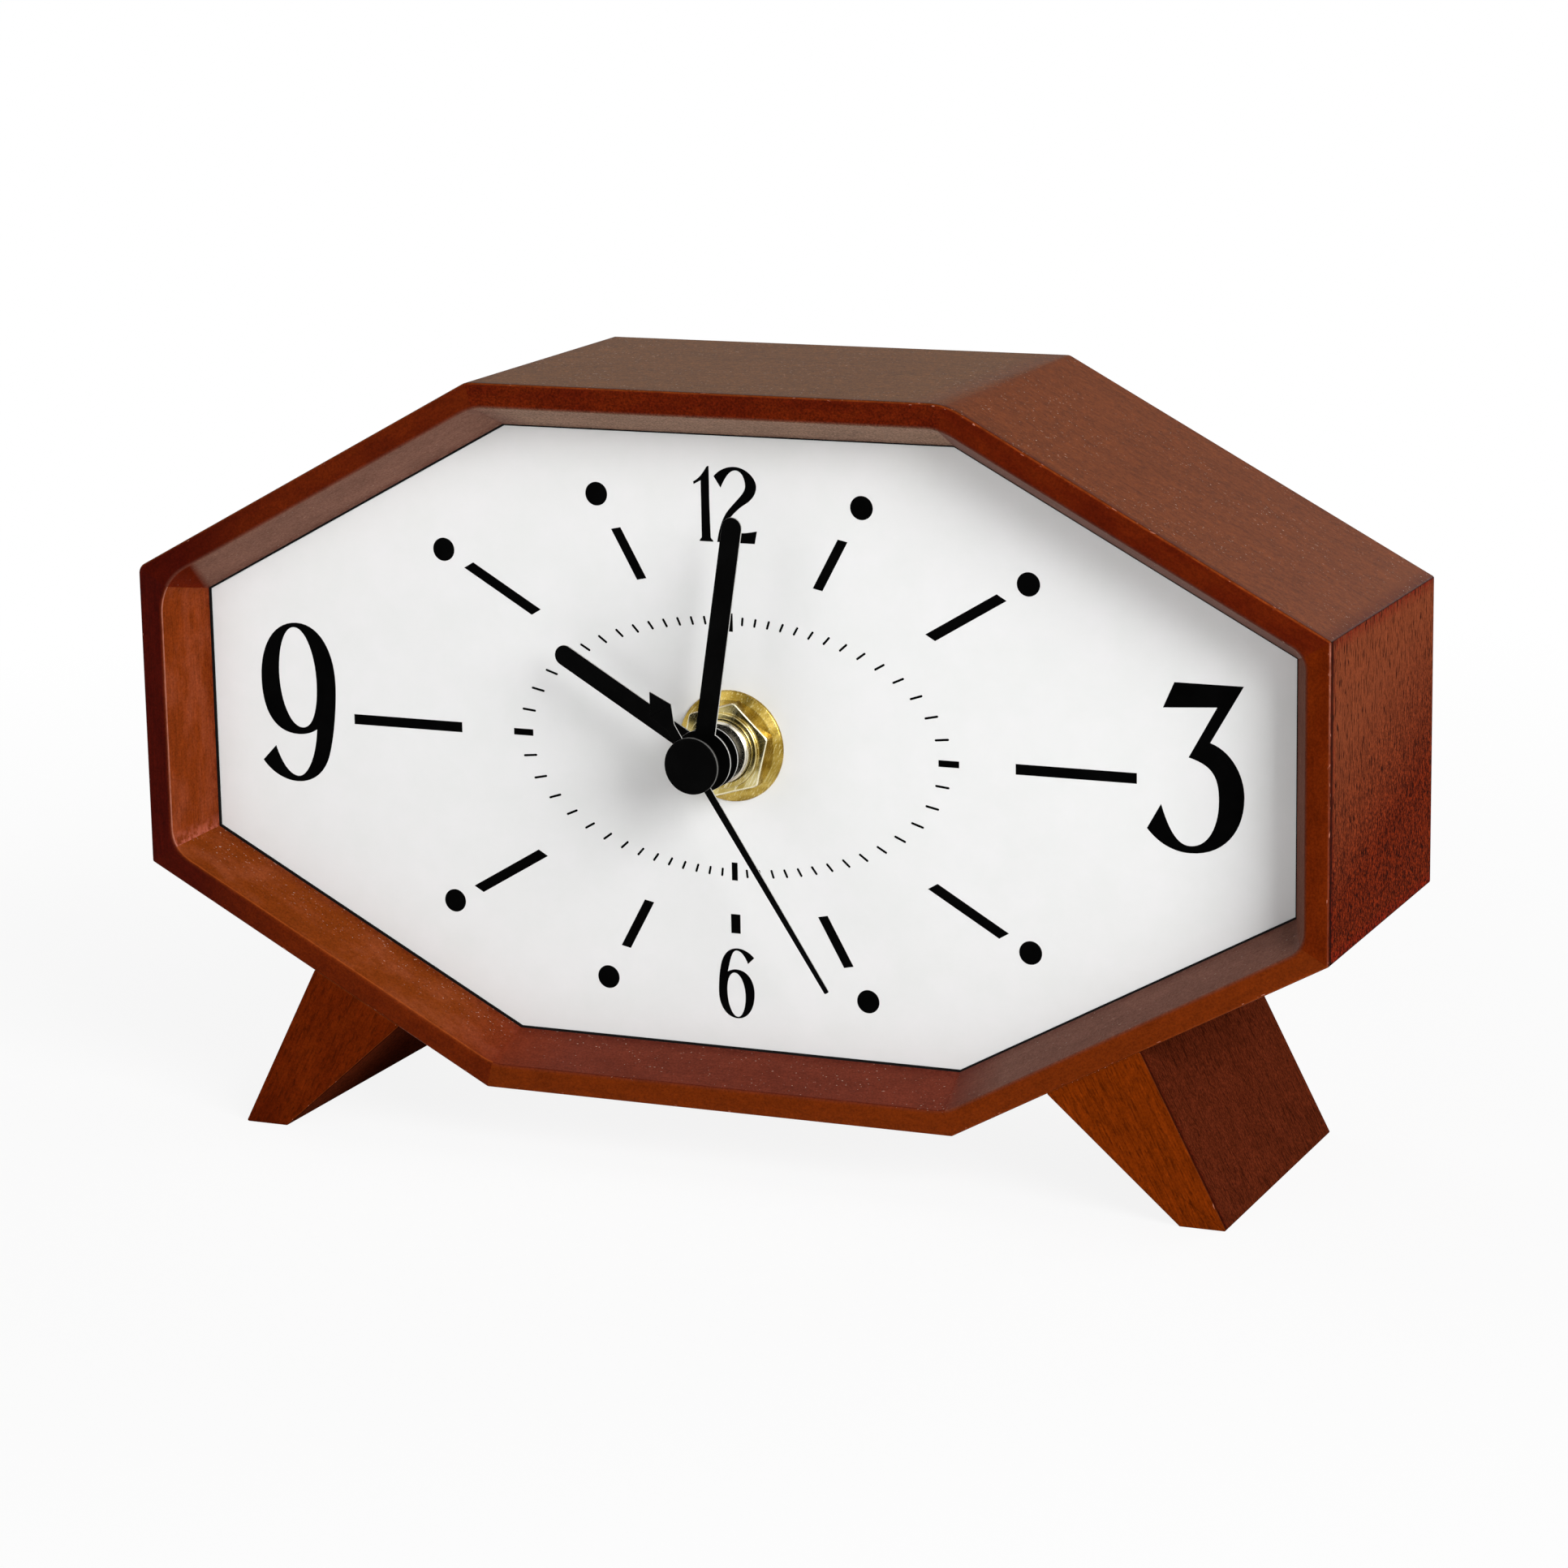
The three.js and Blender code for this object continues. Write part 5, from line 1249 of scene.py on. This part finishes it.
def screw_form(radius, angle, depth):
    """The head's recess is a cross: inside it the radius shrinks by half an arm's width over
    reach * sin(angle from the arm). The shank's thread is a triangle wave of depth / pitch - turn."""
    off_arm = np.abs((angle + np.pi / 4) % (np.pi / 2) - np.pi / 4)
    cross = np.minimum(1, CROSS_HALF / CROSS_REACH / np.maximum(np.sin(off_arm), 0.01))
    in_cross = (radius <= CROSS_REACH) & (depth < 1)
    on_shank = (radius > SCREW_SHANK - 0.01) & (depth > SCREW_NECK_END)
    thread = SCREW_THREAD * on_shank * wave(depth / SCREW_PITCH - angle / (2 * np.pi))
    return np.where(in_cross, radius * cross, radius - thread)


def screw(sign, side, end):
    """An oval-headed countersunk screw, turned on its own axis and then laid along the slanting
    side's normal: place = seat + height * normal + across * slope."""
    rows = np.arange(SCREW_NECK_END + 0.4, SCREW_THREAD_END, SCREW_PITCH / 6)
    corners = [(0, -0.15, 0), (0.9, -0.2, 0), (CROSS_REACH, -1.12, 0), (CROSS_REACH + 0.15, -1.08, 0),
               (SCREW_HEAD - 0.55, -0.72, 0.6), (SCREW_HEAD, 0, 0.1), (SCREW_SHANK, 2.2, 0.3),
               *[(SCREW_SHANK, depth, 0) for depth in rows], (SCREW_SHANK, SCREW_THREAD_END, 0),
               (0, SCREW_LENGTH, 0)]
    points, faces = turned(corners, 72, screw_form)
    seat = np.array(slant(sign, SCREW_RUN, 0))
    normal = np.array(slant(sign, SCREW_RUN, 1)) - seat
    slope = np.array(slant(sign, SCREW_RUN + 1, 0)) - seat
    flat = seat + (points[..., 1:2] - WALL) * normal + points[..., 0:1] * slope
    laid = solid_points(flat, SCREW_DEPTHS[end] + points[..., 2])
    mesh_piece(f"screw_{side}_{end}", [(laid, faces)], "case", "steel", [f"foot_screw_{side}_{end}"])


# Battery
CELL_RADIUS = 7.25
CELL_NUB = 2.75
CAN_RADIUS = 5.8
# The hole that the sleeve leaves at either end of the cell
SLEEVE_HOLE = 5.6


def sideways(shell, depth, z):
    """Lays a shell turned round the depth axis along x instead."""
    points = shell[0]
    return np.stack([points[..., 1], depth + points[..., 0], z + points[..., 2]], -1), shell[1]


def sleeve_finish(start, end):
    """Glossy film, deep blue with a silver band near one end and thin lines beside it."""
    made = Finish("cell_film", Specular_IOR_Level=0.5, Roughness=0.3)
    x = made.axis(0)
    drift = made.noise(6, 3, 0.55)
    fine = made.noise(0.3, 2, 0.6)
    colour = made.mix(made.ranged(drift), rgb(30, 52, 98), rgb(38, 62, 112))
    for low, high in ((0.06, 0.07), (0.66, 0.67), (0.69, 0.9)):
        edges = [(start + share * (end - start)) * MM for share in (low, high)]
        rising = made.between(x, edges[0], edges[0] + 0.0001)
        falling = made.between(x, edges[1], edges[1] - 0.0001)
        colour = made.mix(made.times(rising, falling), colour, rgb(186, 190, 196))
    return made.finish(colour, made.ranged(fine, 0.24, 0.36), drift, 0.1)


def cell():
    """A sleeve shrunk over both ends, and inside it the steel can with its nub."""
    low, high = span("battery")
    start, end = low[0], high[0] - 1
    depth, z = (low[1] + high[1]) / 2, (low[2] + high[2]) / 2
    film = [(SLEEVE_HOLE, start + 0.3, 0.05), (SLEEVE_HOLE + 0.3, start, 0.1), (CELL_RADIUS, start, 0.8),
            (CELL_RADIUS, end, 0.9), (SLEEVE_HOLE, end, 0.1), (SLEEVE_HOLE - 0.2, end - 0.3, 0.05)]
    mesh_piece("cell_sleeve", [sideways(turned(film), depth, z)], "case", "battery", ["battery"],
               sleeve_finish(start, end))
    bottom, top = start + 0.15, end - 0.15
    can = [(0, bottom, 0), (CAN_RADIUS, bottom, 0.2), (CAN_RADIUS, top, 0.3), (CELL_NUB, top, 0.1),
           (CELL_NUB, high[0], 0.3), (0, high[0], 0)]
    mesh_piece("cell_can", [sideways(turned(can), depth, z)], "case", "nickel")


# Marks moulded on the movement's cover
MARK_RISE = 0.22
MARK_SUNK = 0.02
MARK_WIDTH = 0.6
# Round the knob: the ring's outer radius, and the arrow's radius, start and end in degrees
RING_RADIUS = 7.6
ARROW_RADIUS = 9.3
ARROW_ARC = (110, 207)
# A bare label's corners and how round they are, and where the battery's plus stands
LABEL = np.array([(-22, 3), (6, 21)])
LABEL_CORNER = 2
SIGN_PLACE = np.array([21, -9.2])
SIGN_SIZE = 0.45
PLUS = np.array([(1, 3), (1, 1), (3, 1), (3, -1), (1, -1), (1, -3),
                 (-1, -3), (-1, -1), (-3, -1), (-3, 1), (-1, 1), (-1, 3)])
MINUS = np.array([(3, 1), (3, -1), (-3, -1), (-3, 1)])


def frame_outline(inset):
    """The label's rectangle with round corners, moved in."""
    (left, bottom), (right, top) = LABEL + np.array([[inset], [-inset]])
    radius = LABEL_CORNER - inset
    return contour([(left, bottom, radius), (right, bottom, radius), (right, top, radius),
                    (left, top, radius)])[0]


def band(centre, radius, width, start, end):
    """Part of a ring between two angles, closed by going out along one circle and back on the other."""
    outer = arc(centre, radius + width / 2, start, end, 40)[0]
    inner = arc(centre, radius - width / 2, end, start, 40)[0]
    return np.vstack([outer, inner])


def cover_marks():
    """A ring and an arrow round the knob, a bare label frame, and the battery's plus and minus. The
    arrow's head is three points round its tip, along the circle and away from its middle."""
    low, high = span("setting_knob")
    knob_place = ((low + high) / 2)[[0, 2]]
    tips, outward = arc(knob_place, ARROW_RADIUS, ARROW_ARC[1] + 1, ARROW_ARC[1] + 1, 1)
    tip, away = tips[0], outward[0]
    ahead = np.array([-away[1], away[0]])
    head = tip + np.array([2.2 * ahead, 1.3 * away - 0.2 * ahead, -1.3 * away - 0.2 * ahead])
    outlines = [arc(knob_place, RING_RADIUS - inset, 0, 360, 64)[0][:-1] for inset in (0, MARK_WIDTH)]
    outlines += [band(knob_place, ARROW_RADIUS, MARK_WIDTH, *ARROW_ARC), head]
    outlines += [frame_outline(inset) for inset in (0, MARK_WIDTH)]
    outlines += [SIGN_SIZE * PLUS + SIGN_PLACE, SIGN_SIZE * MINUS + SIGN_PLACE * (-1, 1)]
    middle = span("movement_cover")[1][1] + MARK_RISE / 2 - MARK_SUNK
    raised("cover_marks", outlines, middle, MARK_RISE, "black_plastic")


# Floor, backdrop and light
# The floor glows white to the eye, and less so near the clock, where it takes the clock's shadow
FLOOR_GLOW = 0.88
FLOOR_SHADOW_NEAR = 0.13
FLOOR_SHADOW_FAR = 0.45
# How strongly the white surroundings light the clock
WORLD_LIGHT = 0.16
# Lamps: place in metres, size in metres, power in watts
LAMPS = {
    "key_lamp": ((1.32, -0.9, 0.82), 0.95, 31.5),
    "fill_lamp": ((-1.0, -1.7, 0.7), 1.2, 6.5),
    "rear_lamp": ((0.7, 1.6, 0.55), 1.2, 12),
    "side_lamp": ((-1.4, 0.6, 0.5), 1.0, 6),
}


def seen_directly(tree):
    """1 for a ray that the camera, metal or glass sends, and 0 for the light on matt surfaces."""
    path = tree.nodes.new("ShaderNodeLightPath").outputs
    last = path["Is Camera Ray"]
    for key in ("Is Glossy Ray", "Is Transmission Ray"):
        most = tree.nodes.new("ShaderNodeMath")
        most.operation = "MAXIMUM"
        tree.links.new(last, most.inputs[0])
        tree.links.new(path[key], most.inputs[1])
        last = most.outputs[0]
    return last


def floor():
    """A level sheet that bends up far behind the clock along a quarter circle: y = edge - bend +
    bend * sin a, z = bend * (1 - cos a)."""
    half, bend, height = 3.0, 0.6, 2.0
    angle = np.linspace(0, np.pi / 2, 17)
    y = np.concatenate([[-half], half - bend + bend * np.sin(angle), [half]])
    z = np.concatenate([[0], bend * (1 - np.cos(angle)), [height]])
    x = np.array([-half, half])
    points = np.stack(np.broadcast_arrays(x[None, :], y[:, None], z[:, None]), -1)
    mesh = bpy.data.meshes.new("floor")
    mesh.from_pydata(points.reshape(-1, 3).tolist(), [], quads(len(y), 2))
    mesh.polygons.foreach_set("use_smooth", [True] * len(mesh.polygons))
    made = Finish("floor_white", Roughness=0.9, Specular_IOR_Level=0.0, Base_Color=(0.9, 0.9, 0.9, 1))
    tree = made.tree
    away = made.put("VectorMath", {0: made.coordinates}, "Value", operation="LENGTH")
    share = made.times(seen_directly(tree),
                       made.between(away, FLOOR_SHADOW_NEAR, FLOOR_SHADOW_FAR, FLOOR_GLOW, 1))
    glow = tree.nodes.new("ShaderNodeEmission")
    blend = tree.nodes.new("ShaderNodeMixShader")
    for index, socket in enumerate((share, made.shader.outputs[0], glow.outputs[0])):
        tree.links.new(socket, blend.inputs[index])
    tree.links.new(blend.outputs[0], tree.nodes["Material Output"].inputs["Surface"])
    mesh.materials.append(made.material)
    sheet = linked("floor", mesh)


def world():
    """White where the camera, metal or glass sees it, and a softer grey as light on the clock."""
    made = bpy.data.worlds.new("studio")
    bpy.context.scene.world = made
    made.use_nodes = True
    tree = made.node_tree
    background = tree.nodes["Background"]
    background.inputs["Color"].default_value = (1, 1, 1, 1)
    strength = tree.nodes.new("ShaderNodeMapRange")
    strength.inputs["To Min"].default_value = WORLD_LIGHT
    strength.inputs["To Max"].default_value = 1
    tree.links.new(seen_directly(tree), strength.inputs["Value"])
    tree.links.new(strength.outputs[0], background.inputs["Strength"])


def lamps():
    """Square lamps that face the middle of the dial's height over the origin."""
    aim = Vector((0, 0, DIAL_Z))
    for name, (place, size, power) in LAMPS.items():
        data = bpy.data.lights.new(name, "AREA")
        data.size = size
        data.energy = power
        made = linked(name, data)
        made.location = place
        made.rotation_euler = (aim - Vector(place)).to_track_quat("-Z", "Y").to_euler()


def build():
    """Makes every piece, from the case inwards, and then the floor and the light."""
    for side in range(8):
        stave(side, stave_material(side))
    for sign, (name, stain) in zip((1, -1), FOOT_STAINS.items()):
        foot(sign, name, stained_wood(name + "_wood", -FOOT_SLOPE * sign, **FOOT_WOOD, **stain))
    dress_nodes()
    black_strip()
    dial_print()
    bush()
    washer()
    nut()
    bar_hand("hour_hand", "hour", **HOUR)
    bar_hand("minute_hand", "minute", **MINUTE)
    second_hand()
    hand_cap()
    knob()
    behind_the_dial()
    for sign, side in ((1, "right"), (-1, "left")):
        for end in SCREW_DEPTHS:
            screw(sign, side, end)
    cell()
    cover_marks()
    floor()
    world()
    lamps()


build()
scene = bpy.context.scene
scene.view_settings.view_transform = "Standard"
